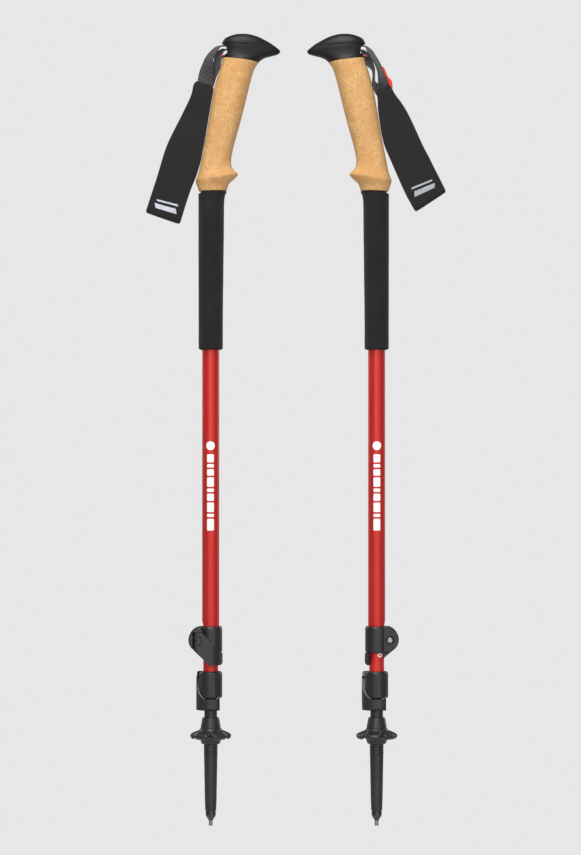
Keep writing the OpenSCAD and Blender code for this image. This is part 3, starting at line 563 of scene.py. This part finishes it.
corkGrip = {
    "stations": [
        (-11.0, 0.0, 15.0, 0.6, 12.8, 0), (-12.6, 4.4, 17.2, 7.0, 14.2, 0),
        (-13.5, 7.2, 21.6, 11.2, 15.9, 0), (-13.9, 8.7, 24.3, 13.9, 16.9, 0),
        (-14.0, 10.0, 25.5, 15.7, 17.2, 0), (-13.7, 11.3, 24.9, 17.2, 16.9, 0),
        (-12.7, 13.8, 22.7, 19.4, 16.1, 0), (-11.0, 19.0, 19.9, 23.2, 14.4, 0),
        (-9.4, 27.0, 19.3, 30.4, 13.6, 0), (-6.3, 43.0, 21.6, 42.4, 13.6, 0),
        (-2.9, 61.0, 26.4, 59.6, 14.4, 0), (0.1, 79.5, 30.9, 76.6, 15.0, 0),
        (3.4, 97.0, 35.1, 94.0, 15.2, 0), (7.2, 111.0, 38.6, 107.4, 15.0, 0),
        (9.8, 119.6, 41.4, 115.6, 14.7, 0), (11.2, 125.5, 45.2, 121.1, 14.6, 0)],
    "sides": 240, "steps": 14, "wall": 3.2, "edge": 0.45,
    "pit": 0.10, "pitSize": 1.3, "pitFrom": 0.62, "grainSize": (0.9, 2.2), "seed": {"left": 3, "right": 8},
}


def makeCork(side):
    # Outer skin through the stations with rounded rims and pits of noise, joined to an inner wall
    s = corkGrip
    fine = throughPoints(s["stations"], s["steps"])
    end = np.minimum(np.arange(len(fine)), np.arange(len(fine))[::-1])
    fine = grownStations(fine, -s["edge"] * np.clip(1 - end / 2.0, 0, 1) ** 2)
    outside = ovalRings(fine, s["sides"])
    inside = ovalRings(grownStations(throughPoints(s["stations"], 2), -s["wall"]), s["sides"])
    out = outside - outside.mean(1, keepdims=True)
    out /= np.linalg.norm(out, axis=-1, keepdims=True)
    seed, (small, large) = s["seed"][side], s["grainSize"]
    rough = grain(outside, small, seed) * 0.5 + grain(outside, large, seed + 1) * 0.35
    holes = smoothStep((grain(outside, s["pitSize"], seed + 2) - s["pitFrom"]) / 0.2)
    fade = smoothStep(end / 4.0)[:, None]
    outside += out * ((rough * s["pit"] * 0.6 - holes * s["pit"]) * fade)[..., None]
    wall = placed(np.concatenate([outside, inside[::-1]]), side)
    cork = surface(side + "CorkGrip", [wall], finishes["cork"], wrapRows=True, sharp=60)
    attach(cork, side + "_upper")
    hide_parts(side + "_cork_grip")


foamSleeve = {
    "sides": 150, "rows": 190, "footRound": 2.0, "topRound": 0.7, "lip": 3.0, "lipReach": 3.4,
    "lean": 0.5, "rearDrop": 1.9, "wave": 0.10, "footRadius": 11.35, "bore": 8.06, "gap": 0.12,
    "crowd": 0.035, "topInset": 0.5,
}


def makeFoam(side):
    # A turned sleeve: radius swells slowly upwards, rolls in at its foot, and leans out to meet the cork
    s = foamSleeve
    length = corkFoot - foamFoot - s["gap"]
    t = np.linspace(0, 1, s["rows"])
    h = length * (t - s["crowd"] * np.sin(2 * np.pi * t))
    a = np.arange(s["sides"]) / s["sides"] * 2 * np.pi
    up = smoothStep(h / length)
    r = s["footRadius"] + (foamRadius - s["topInset"] - s["footRadius"]) * up
    foot = np.clip(1 - h / s["footRound"], 0, 1)
    top = np.clip(1 - (length - h) / s["topRound"], 0, 1)
    r = r - s["footRound"] * (1 - np.sqrt(1 - foot ** 2)) - s["topRound"] * (1 - np.sqrt(1 - top ** 2))
    front = np.clip(np.cos(a), 0, 1)[None, :] ** 1.4
    lip = s["lip"] * np.exp(-(length - h) / s["lipReach"])[:, None] * front
    rr = r[:, None] + lip
    x, y = rr * np.cos(a) + s["lean"] * up[:, None], rr * np.sin(a)
    drop = s["rearDrop"] * smoothStep((-x - 5.5) / 5.0) * smoothStep((h - length + 8) / 8)[:, None]
    z = foamFoot + h[:, None] - drop
    outside = np.stack([x, y, z], -1)
    swell = grain(outside, 14, 5) * s["wave"] + grain(outside, 4, 6) * s["wave"] * 0.3
    outside[..., 0] += swell * np.cos(a)
    outside[..., 1] += swell * np.sin(a)
    b = s["bore"]
    inner = np.stack([np.broadcast_to(b * np.cos(a), (2, len(a))),
                      np.broadcast_to(b * np.sin(a), (2, len(a))), np.stack([z[-1], z[0]])], -1)
    wall = placed(np.concatenate([outside, inner]), side)
    foam = surface(side + "FoamSleeve", [wall], finishes["foam"], wrapRows=True, sharp=70)
    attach(foam, side + "_upper")
    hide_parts(side + "_foam_sleeve")


for side in ("left", "right"):
    makeHead(side)
    makeCork(side)
    makeFoam(side)
print("grips made")


webbing = {
    "width": 15.0, "thick": 1.4, "spacing": 0.32, "across": 40,
    "ribPitch": 1.9, "ribDepth": 0.32, "ribSlant": 0.34,
    # x, y, height over the cork's foot, twist in degrees: up from the pad, round the pin, down again
    "left": [
        (-7.0, -1.0, 90.0, 90), (-5.6, -1.0, 96.5, 88), (-4.9, -1.0, 103.0, 84), (-4.5, -1.0, 108.1, 72),
        (-3.8, -1.0, 113.7, 58), (-2.7, -0.8, 119.3, 43), (-1.3, -0.5, 124.8, 32), (2.3, -0.2, 130.6, 24),
        (6.2, 0, 134.9, 16), (10.9, 0, 136.9, 6), (21.0, 0, 137.3, 0), (30.9, 0, 137.4, 0),
        (32.5, 0, 136.8, 0), (33.0, 0, 135.3, 0), (32.5, 0, 133.8, 0), (30.9, 0, 133.2, 0),
        (21.0, 0, 133.0, 0), (14.5, 0, 133.2, -8), (10.9, 0, 132.3, -18), (8.2, 0.1, 129.6, -26),
        (7.0, 0.2, 126.0, -28), (6.2, 0.4, 122.0, -28), (5.3, 0.6, 118.0, -30), (3.0, 0.9, 113.5, -38),
        (-0.4, 1.2, 108.7, -56), (-3.2, 1.2, 103.9, -76), (-5.4, 1.1, 98.5, -88), (-7.0, 1.0, 90.0, -90)],
    "right": [
        (-9.9, 1.0, 88.0, -90), (-8.2, 1.0, 93.0, -84), (-7.2, 1.0, 97.5, -64), (-6.4, 1.0, 101.5, -46),
        (-5.5, 0.9, 105.0, -36), (-4.7, 0.8, 108.7, -30), (-3.8, 0.6, 112.4, -25), (-2.5, 0.4, 116.0, -23),
        (-0.7, 0.2, 120.0, -22), (2.1, 0, 124.9, -22), (5.5, 0, 130.6, -21), (7.7, 0, 133.6, -16),
        (11.2, 0, 136.6, -6), (21.0, 0, 137.3, 0), (30.9, 0, 137.4, 0), (32.5, 0, 136.8, 0),
        (33.0, 0, 135.3, 0), (32.5, 0, 133.8, 0), (30.9, 0, 133.2, 0), (21.0, 0, 133.0, 0),
        (14.8, 0, 132.6, 10), (12.2, 0, 130.6, 22), (10.2, -0.2, 127.4, 30), (8.4, -0.4, 123.6, 31),
        (6.1, -0.6, 119.4, 27), (3.9, -0.9, 116.0, 18), (2.9, -1.2, 112.5, 9), (2.7, -1.3, 108.5, 7),
        (2.7, -1.3, 104.0, 10), (1.0, -1.3, 100.0, 32), (-3.2, -1.2, 96.4, 62), (-7.6, -1.0, 92.6, 84),
        (-9.9, -1.0, 88.0, 90)],
    "bendFrom": (15.0, 134.0), "bendTo": (3.0, 133.0),
}


def makeWebbing(side):
    # A flat band carried along its path: it stands across the pole and turns by the twist about its own
    # line; slanting ribs lift both faces, and the long edges are rounded
    s = webbing
    path, run = evenSpacing(throughPoints(s[side], 22), s["spacing"])
    p = path[:, :3] + np.array([0, 0, corkFoot])
    d = np.gradient(path[:, [0, 2]], axis=0)
    d /= np.linalg.norm(d, axis=1, keepdims=True)
    normal = np.stack([d[:, 1], np.zeros(len(d)), -d[:, 0]], 1)
    twist = np.radians(path[:, 3])[:, None]
    ahead = np.array([0, 1.0, 0])
    wide = -np.cos(twist) * ahead + np.sin(twist) * normal
    thin = np.cos(twist) * normal + np.sin(twist) * ahead
    half, t = s["width"] / 2, s["thick"] / 2
    u = np.linspace(-1, 1, s["across"])
    v = np.r_[u, u[::-1]] * half
    face = np.r_[np.ones(len(u)), -np.ones(len(u))]
    edge = np.sqrt(np.clip(1 - ((np.abs(v) - (half - t)) / t).clip(0, 1) ** 2, 0.02, 1))
    slant = face[None, :] * v[None, :] * s["ribSlant"] / s["ribPitch"]
    phase = (run[:, None] / s["ribPitch"] + slant) * 2 * np.pi
    rib = s["ribDepth"] * (np.sin(phase) * 0.5 - 0.5) * (np.abs(v) < half - t)[None, :]
    lift = face[None, :] * (t * edge[None, :] + rib)
    rings = p[:, None, :] + wide[:, None, :] * v[None, :, None] + thin[:, None, :] * lift[..., None]
    uv = np.stack([np.broadcast_to(run[:, None], rings.shape[:2]),
                   np.broadcast_to((face * v)[None, :], rings.shape[:2])], -1)
    band = surface(side + "Webbing", [placed(rings, side)], finishes["webbing"], uv=[uv * mm])
    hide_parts(side + "_strap_root", side + "_strap_webbing")
    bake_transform(band)


strapPad = {
    "thick": 2.3, "spacing": 0.8, "across": 46, "nose": 3.2,
    "mouthGap": 3.05, "foldGap": 1.6, "bulge": 1.0, "crown": 0.12, "foldRound": 0.8,
    "seamIn": 2.0, "seamDeep": 0.35, "seamWide": 0.55, "stitch": 2.4,
    # x and height of the outer edge, then of the inner edge: from the mouth down to the fold
    "left": [
        (-12.9, 103.5, 1.2, 99.9), (-15.2, 101.6, 2.2, 97.4), (-16.5, 98.4, 2.4, 94.6),
        (-17.4, 93.8, 1.6, 90.0), (-19.2, 88.2, 0.4, 83.6), (-23.6, 78.9, -1.3, 73.6),
        (-28.8, 68.4, -3.3, 61.4), (-34.6, 57.0, -5.5, 48.8), (-39.2, 47.6, -7.6, 38.2),
        (-43.4, 37.0, -9.9, 26.6), (-47.2, 24.4, -13.6, 14.6), (-51.2, 11.2, -18.0, 3.7),
        (-55.6, -2.2, -22.7, -10.0), (-61.0, -18.8, -28.8, -30.0)],
    "right": [
        (-11.6, 100.6, 0.4, 95.6), (-13.8, 97.4, 0.0, 92.6), (-15.8, 93.6, -0.6, 88.8),
        (-18.6, 89.2, -1.0, 84.0), (-22.9, 83.6, -1.3, 76.4), (-28.0, 75.6, -2.7, 65.6),
        (-33.0, 65.8, -4.6, 54.2), (-38.6, 53.5, -7.6, 42.6), (-44.4, 41.0, -13.0, 29.8),
        (-49.5, 31.4, -17.6, 19.2), (-55.4, 19.5, -23.0, 6.7), (-60.6, 9.4, -28.3, -4.6),
        (-65.0, 0.4, -36.1, -18.6)],
}


def padLine(side):
    # Middle, half width and the direction across, sampled evenly down the pad
    line = throughPoints(strapPad[side], 24)
    outer, inner = line[:, 0:2], line[:, 2:4]
    middle, cross = (outer + inner) / 2, (inner - outer) / 2
    half = np.linalg.norm(cross, axis=1)
    run = np.r_[0, np.cumsum(np.linalg.norm(np.diff(middle, axis=0), axis=1))]
    return run, middle, half, cross / half[:, None]


padLines = {side: padLine(side) for side in ("left", "right")}


def padStand(side, l):
    # How far each layer stands from the middle plane: open at the mouth, closing to the fold
    s, length = strapPad, padLines[side][0][-1]
    t = np.clip(l / length, 0, 1)
    closing = (s["foldGap"] - s["mouthGap"]) * smoothStep((l - 8) / 30)
    return s["mouthGap"] + closing + s["bulge"] * np.sin(np.pi * t) ** 2


def padPoint(side, l, u, out):
    # A point l down the pad, u across it and out from its middle plane, in the pole's frame
    run, middle, _, cross = padLines[side]
    past = l - np.clip(l, 0, run[-1])
    mx, mz, cx, cz = (np.interp(l, run, v) for v in (middle[:, 0], middle[:, 1], cross[:, 0], cross[:, 1]))
    return np.stack([mx + u * cx + past * cz, out + 0 * l, mz + corkFoot + u * cz - past * cx], -1)


def makePad(side):
    # One padded band: down the front, round the fold and up the back. Its section is a flat oval with
    # a sewn channel inside each edge, where stitches dimple the cloth
    s, length = strapPad, padLines[side][0][-1]
    near = -1 if side == "left" else 1
    nose = s["nose"]
    down = np.linspace(0, length - nose, 170)
    bend = np.linspace(0, np.pi / 2, 12)[1:]
    l = np.r_[down, length - nose + nose * np.sin(bend)]
    stand = padStand(side, l)
    stand[len(down):] = stand[len(down) - 1] * np.cos(bend)
    line = np.stack([np.r_[l, l[::-1][1:]], np.r_[stand, -stand[::-1][1:]]], 1)
    line, run = evenSpacing(line, s["spacing"], 2)
    half = np.interp(line[:, 0], padLines[side][0], padLines[side][2])
    half = half - s["foldRound"] * (1 - np.sqrt(1 - np.clip((line[:, 0] - length + 1.0) / 1.0, 0, 1) ** 2))
    d = np.gradient(line, axis=0)
    d /= np.linalg.norm(d, axis=1, keepdims=True)
    normal = np.stack([-d[:, 1], d[:, 0]], 1)
    t = s["thick"] / 2
    u = np.sin(np.linspace(-np.pi / 2, np.pi / 2, s["across"]))
    u = 0.5 * u + 0.5 * np.linspace(-1, 1, s["across"])
    v = np.r_[u, u[::-1][1:-1]]
    face = np.r_[np.ones(len(u)), -np.ones(len(u) - 2)]
    inset = half[:, None] * (1 - np.abs(v)[None, :])
    body = np.sqrt(np.clip(1 - (1 - inset / t).clip(0, 1) ** 2, 0, 1))
    seam = s["seamDeep"] * np.exp(-((inset - s["seamIn"]) / s["seamWide"]) ** 2)
    seam = seam * (0.75 + 0.25 * np.cos(2 * np.pi * run / s["stitch"]))[:, None]
    crown = s["crown"] * np.clip(inset / 12, 0, 1)
    ends = np.sqrt(np.clip(1 - np.clip(1 - np.minimum(run, run[-1] - run) / t, 0, 1) ** 2, 0.01, 1))[:, None]
    lift = face[None, :] * (t * body - seam + crown * (face > 0)) * ends
    across = half[:, None] * v[None, :]
    along = line[:, 0][:, None] + normal[:, 0][:, None] * lift
    out = near * (line[:, 1][:, None] + normal[:, 1][:, None] * lift)
    rings = padPoint(side, along, across, out)
    rings[..., 1] += padWave(rings) * near
    uv = np.stack([np.broadcast_to(run[:, None], across.shape), across], -1) * mm
    pad = surface(side + "StrapPad", [placed(rings, side)], finishes["pad"], uv=[uv])
    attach(pad, side + "_strap")
    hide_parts(side + "_strap_pad")


def padWave(p):
    # Slow waves that keep the cloth from lying dead flat
    return grain(p, 22, 11) * 0.15 + grain(p, 9, 12) * 0.06


filmMark = {
    "bars": [(3.4, 4.6), (9.0, 1.8)], "width": 21.0, "slant": 2.0, "rise": 0.16, "lift": 0.12, "sink": 0.4,
    "overFold": {"left": 5.2, "right": 8.5},
}


def makeFilm(side):
    # Two plain bars of film on the pad's outer face near the fold, their ends cut on a slant
    s, length = filmMark, padLines[side][0][-1]
    near = -1 if side == "left" else 1
    grids = []
    for middle, tall in s["bars"]:
        l0 = length - s["overFold"][side] - middle
        e = np.linspace(-1, 1, 26)
        w = np.linspace(-1, 1, 60)
        ll, uu = np.meshgrid(l0 + e * tall / 2, w * s["width"] / 2, indexing="ij")
        uu = uu + s["slant"] * (ll - l0) / 4
        stand = padStand(side, ll) + strapPad["thick"] / 2 + s["lift"]
        rim = np.minimum(1 - np.abs(e)[:, None] ** 8, 1 - np.abs(w)[None, :] ** 30)
        rim = (rim * 3).clip(0, 1)
        top = padPoint(side, ll, uu, near * (stand + s["rise"] * rim))
        top[..., 1] += padWave(top) * near
        base = padPoint(side, ll, uu, near * (stand - s["sink"]))
        grids.append(np.concatenate([top, base[:, ::-1]], axis=1))
    film = surface(side + "PadFilm", [placed(g, side) for g in grids], finishes["film"], sharp=40)
    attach(film, side + "_strap")


redTab = {
    "thick": 0.9,
    # x, y, height over the cork's foot, half width
    "left": [(1.0, -1.9, 98.8, 0.4), (1.9, -2.0, 97.4, 0.8), (2.0, -2.0, 95.8, 0.9), (1.6, -2.0, 94.2, 0.7),
             (0.9, -1.9, 92.9, 0.4)],
    "right": [(-5.7, 0.4, 117.2, 0.5), (-6.9, 0.6, 114.2, 0.9), (-8.2, 0.9, 111.2, 0.95),
              (-9.6, 1.1, 107.9, 0.8), (-11.0, 1.3, 105.8, 1.1), (-12.3, 1.4, 103.6, 1.7),
              (-13.0, 1.5, 101.0, 1.7), (-13.8, 1.5, 98.6, 1.1), (-14.4, 1.5, 96.9, 0.5)],
}


def makeTab(side):
    # A soft folded tape: a flat oval whose half width changes along its line
    s = redTab
    path, run = evenSpacing(throughPoints(s[side], 16), 0.25)
    d = np.gradient(path[:, [0, 2]], axis=0)
    d /= np.linalg.norm(d, axis=1, keepdims=True)
    wide = np.stack([d[:, 1], np.zeros(len(d)), -d[:, 0]], 1)
    a = np.linspace(0, 2 * np.pi, 36, endpoint=False)
    c, n = np.sign(np.cos(a)) * np.abs(np.cos(a)) ** 0.7, np.sin(a)
    rings = (path[:, None, :3] + np.array([0, 0, corkFoot])
             + wide[:, None, :] * (path[:, 3][:, None] * c)[..., None]
             + np.array([0, 1.0, 0]) * (s["thick"] / 2 * n)[None, :, None])
    uv = np.stack([np.broadcast_to(run[:, None], rings.shape[:2]), path[:, 3][:, None] * c], -1) * mm
    tab = surface(side + "RedTab", [placed(rings, side)], finishes["tab"], uv=[uv])
    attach(tab, side + "_strap")
    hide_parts(side + "_strap_tab")


for side in ("left", "right"):
    makeWebbing(side)
    makePad(side)
    makeFilm(side)
    makeTab(side)
print("straps made")


tubePrint = {
    "dot": (357.0, 4.2), "width": 6.6, "rise": 0.05, "sink": 0.2, "corner": 0.7,
    # top and bottom of each dash, height over the tip
    "dashes": [(349.0, 341.5), (339.8, 336.6), (334.9, 329.0), (327.3, 318.6), (316.9, 313.7),
               (312.0, 305.4), (303.7, 294.8), (293.1, 290.2), (288.5, 277.5)],
}


def makePrint(side):
    # Patches wrapped round the tube: across is an angle on its surface, and each has a rounded outline
    s = tubePrint
    r = upperRadius + s["rise"]
    facing = -np.pi / 2 if side == "left" else np.pi / 2
    grids = []
    boxes = [(s["dot"][0], s["dot"][1], s["dot"][1])]
    boxes += [((a + b) / 2, (a - b) / 2, s["width"] / 2) for a, b in s["dashes"]]
    for z0, tall, half in boxes:
        corner = tall if tall == half else s["corner"]
        q, w = np.linspace(-1, 1, 25), np.linspace(-1, 1, 25)
        z = q * tall
        over = np.clip(np.abs(z) - (tall - corner), 0, corner) / corner
        reach = half - corner + corner * np.sqrt(1 - over ** 2 * 0.9999)
        angle = facing + (w[None, :] * reach[:, None]) / r
        zz = np.broadcast_to(z0 + z[:, None], angle.shape)
        skins = [np.stack([(r + k) * np.cos(angle), (r + k) * np.sin(angle), zz], -1)
                 for k in (0.0, -s["rise"] - s["sink"])]
        grids.append(np.concatenate([skins[0], skins[1][:, ::-1]], axis=1))
    mark = surface(side + "TubePrint", [placed(g, side) for g in grids], finishes["print"], sharp=40)
    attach(mark, side + "_upper")


lengthMark = {"z": 160.4, "across": 3.2, "half": (2.5, 1.9), "hole": (1.3, 0.8), "rise": 0.05, "thick": 0.25}


def makeMark(side):
    # A flat oval ring bent round the middle tube: each spoke runs from the hole's edge to the outer edge
    s = lengthMark
    r = middleRadius + s["rise"]
    a = np.linspace(0, 2 * np.pi, 64, endpoint=False)
    at = np.linspace(0, 1, 7)[:, None]
    u = (s["hole"][0] + (s["half"][0] - s["hole"][0]) * at) * np.cos(a)
    v = (s["hole"][1] + (s["half"][1] - s["hole"][1]) * at) * np.sin(a)
    angle = -np.pi / 2 + (s["across"] + u) / r
    skins = [np.stack([(r - k) * np.cos(angle), (r - k) * np.sin(angle), s["z"] + v], -1)
             for k in (0.0, s["thick"])]
    ring = np.concatenate([skins[0], skins[1][::-1]])
    centre = 0 if side == "left" else poleGap * mm
    mark = surface(side + "LengthMark", [ring * mm + np.array([centre, 0, 0])], finishes["print"],
                   wrapRows=True, sharp=40)
    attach(mark, side + "_middle")


for side in ("left", "right"):
    makePrint(side)
    makeMark(side)
print("prints made")


basketShape = {
    "petals": 6, "rim": 19.3, "notch": 14.6, "sharpness": 2.6, "root": 10.6,
    "turn": {"left": 0.0, "right": 15.0},
    "sides": 288, "steps": 7, "flat": 1.5, "middle": 85.6, "thinner": 0.22, "hook": 1.8,
    # radius and height over the tip, round the section from the bore's foot and back to it: the columns
    # are r and z on a full petal; what lies past the root is drawn in between the petals
    "profile": [
        (6.65, 76.8), (7.9, 76.8), (8.7, 77.4), (9.3, 78.9), (9.8, 80.6), (10.6, 81.8), (11.6, 82.6),
        (13.0, 83.7), (14.4, 84.2), (15.4, 83.6), (16.2, 82.4), (17.2, 81.8), (18.3, 82.3), (19.1, 83.7),
        (19.3, 85.0), (18.6, 86.2), (16.8, 87.3), (14.8, 88.2), (12.8, 89.0), (11.2, 89.7), (10.4, 90.4),
        (10.0, 91.2), (9.2, 91.5), (8.0, 91.5), (6.65, 91.5)],
}


def makeBasket(side):
    # A turned section whose reach past the root swells to a petal six times round; between the petals it
    # is drawn back, so the rim is scalloped and the petals hang like short hooks
    s = basketShape
    section = throughPoints(s["profile"], s["steps"])
    a = np.arange(s["sides"]) / s["sides"] * 2 * np.pi
    wave = (0.5 + 0.5 * np.cos(s["petals"] * (a - math.radians(s["turn"][side])))) ** (1 / s["sharpness"])
    petal = smoothStep(wave * s["flat"])
    reach = (s["notch"] - s["root"] + (s["rim"] - s["notch"]) * petal) / (s["rim"] - s["root"])
    r0, z0 = section[:, 0][:, None], section[:, 1][:, None]
    past = np.maximum(r0 - s["root"], 0)
    r = np.where(past > 0, s["root"] + past * reach[None, :], r0)
    middle = s["middle"]
    thin = 1 - s["thinner"] * (1 - petal)[None, :] * np.clip(past / 2, 0, 1)
    below, outer = np.clip((middle - z0) / 3, 0, 1), np.clip((past - 3.0) / 2.5, 0, 1)
    hook = below * outer * (1 - petal)[None, :] * s["hook"]
    z = middle + (z0 - middle) * thin + hook
    grid = np.stack([r * np.cos(a), r * np.sin(a), z], -1)
    basket = surface(side + "Basket", [placed(grid, side)], finishes["basketPlastic"], wrapRows=True, sharp=50)
    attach(basket, side + "_basket")
    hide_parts(side + "_basket")


for side in ("left", "right"):
    makeBasket(side)
print("baskets made")


rounding = {
    # node: finish, edge radius in mm
    "grip_core": ("innerPlastic", 0.0), "strap_wedge": ("redPlasticPaintedShade", 0.2), "upper_tube": ("upperTube", 0.12),
    "upper_clamp": ("clampPlastic", 0.35), "upper_lever": ("upperLever", 0.4), "upper_nut": ("steel", 0.2),
    "upper_screw": ("steel", 0.12), "upper_shoe": ("steel", 0.2), "middle_bushing": ("innerPlastic", 0.2),
    "middle_tube": ("middleTube", 0.12), "lower_clamp": ("clampPlastic", 0.35),
    "lower_lever": ("lowerLever", 0.4), "lower_nut": ("steel", 0.2), "lower_screw": ("steel", 0.12),
    "lower_shoe": ("steel", 0.2),
    "lower_bushing": ("innerPlastic", 0.2), "lower_tube": ("lowerTube", 0.12), "flex_tip": ("tipPlastic", 0.2),
    "tip_ferrule": ("ferrule", 0.12), "carbide_tip": ("carbide", 0.12),
}
for side, across in (("left", 0.0), ("right", poleGap * mm)):
    turned = -1 if side == "left" else 1
    boss, upperZ, lowerZ = (leverBoss[key] * mm for key in ("across", "upperZ", "lowerZ"))
    own = {
        "upperLever": leverFinish(side + "UpperLever", (across + turned * boss, upperZ), "x"),
        "lowerLever": leverFinish(side + "LowerLever", (boss, lowerZ), "y"),
        "middleTube": anodised(side + "MiddleRed", tone(196, 39, 31), redDye, 0.44,
                               scaleMarks(markLook["middle"], across)),
        "lowerTube": anodised(side + "LowerBlack", tone(52, 49, 54), tone(40, 38, 42), 0.38,
                              scaleMarks(markLook["lower"], across), 0.4),
    }
    for name, (finish, radius) in rounding.items():
        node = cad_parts[side + "_" + name]
        node.data.materials.clear()
        node.data.materials.append(own.get(finish) or finishes[finish])
        if radius:
            weld = node.modifiers.new("weld", "WELD")
            weld.merge_threshold = 0.000004
            soft = node.modifiers.new("edges", "BEVEL")
            soft.width, soft.segments = radius * mm, 2
            soft.limit_method, soft.angle_limit = "ANGLE", math.radians(32)
            soft.use_clamp_overlap = True
            node.modifiers.new("shading", "WEIGHTED_NORMAL").keep_sharp = True
print("rigid parts finished")


studio = {
    "floorZ": -0.80, "floorRings": (0.0005, 0.6, 1.4, 2.6, 4.5, 5.5), "background": 0.80, "ambient": 0.17,
    "floorX": 0.08, "aim": (0.078, 0.0, 0.40),
    # name, place, width and height, power
    "lamps": [
        ("key", (-0.35, -2.8, 1.2), (0.7, 1.6), 44), ("fill", (1.3, -2.5, 0.5), (0.9, 2.0), 14),
        ("crown", (-0.1, -0.9, 2.3), (1.2, 0.8), 46), ("backLeft", (-1.8, 1.6, 1.2), (0.6, 1.8), 15),
        ("backRight", (1.9, 1.7, 1.0), (0.6, 1.8), 15)],
}
a = np.linspace(0, 2 * np.pi, 96, endpoint=False)
rings = np.array(studio["floorRings"])
disc = np.stack([studio["floorX"] + rings[:, None] * np.cos(a), rings[:, None] * np.sin(a),
                 np.broadcast_to([[studio["floorZ"]]], (len(rings), 96))], -1)
floorFinish = Finish("paleFloor", tone(120, 120, 120), 0.9,
                     Emission_Color=(0.8, 0.8, 0.8, 1), Emission_Strength=0.82)
floorFinish.feed("Base Color", floorFinish.ramp(floorFinish.noise(0.4, 2),
                                                [(0.3, tone(112, 112, 112)), (0.7, tone(124, 124, 124))]))
floor = surface("floor", [disc], floorFinish.mat, caps=False, outward=False)

world = scene.world or bpy.data.worlds.new("studio")
scene.world = world
world.use_nodes = True
sky = world.node_tree
shown = sky.nodes["Background"]
grey = studio["background"]
shown.inputs["Color"].default_value = (grey, grey, grey, 1)
shown.inputs["Strength"].default_value = 1.0
dim = sky.nodes.new("ShaderNodeBackground")
dim.inputs["Color"].default_value = (1, 1, 1, 1)
dim.inputs["Strength"].default_value = studio["ambient"]
rays, swap = sky.nodes.new("ShaderNodeLightPath"), sky.nodes.new("ShaderNodeMixShader")
sky.links.new(rays.outputs["Is Camera Ray"], swap.inputs[0])
sky.links.new(dim.outputs[0], swap.inputs[1])
sky.links.new(shown.outputs[0], swap.inputs[2])
sky.links.new(swap.outputs[0], sky.nodes["World Output"].inputs["Surface"])


def softbox(name, spot, size, power):
    data = bpy.data.lights.new(name, "AREA")
    data.shape, data.size, data.size_y = "RECTANGLE", size[0], size[1]
    data.energy = power
    lamp = bpy.data.objects.new(name, data)
    lamp.location = spot
    lamp.rotation_euler = (Vector(studio["aim"]) - Vector(spot)).to_track_quat("-Z", "Y").to_euler()
    scene.collection.objects.link(lamp)


for lamp in studio["lamps"]:
    softbox(*lamp)

lens = {"x": 0.0750, "z": 0.3741, "away": 3.0, "tall": 0.8037}
cameraData = bpy.data.cameras.new("front")
cameraData.sensor_width = 36
cameraData.lens = 36 * lens["away"] / lens["tall"]
camera = bpy.data.objects.new("front", cameraData)
camera.location = (lens["x"], -lens["away"], lens["z"])
camera.rotation_euler = (math.pi / 2, 0, 0)
scene.collection.objects.link(camera)
scene.camera = camera
scene.view_settings.view_transform = "Standard"
print("studio set")
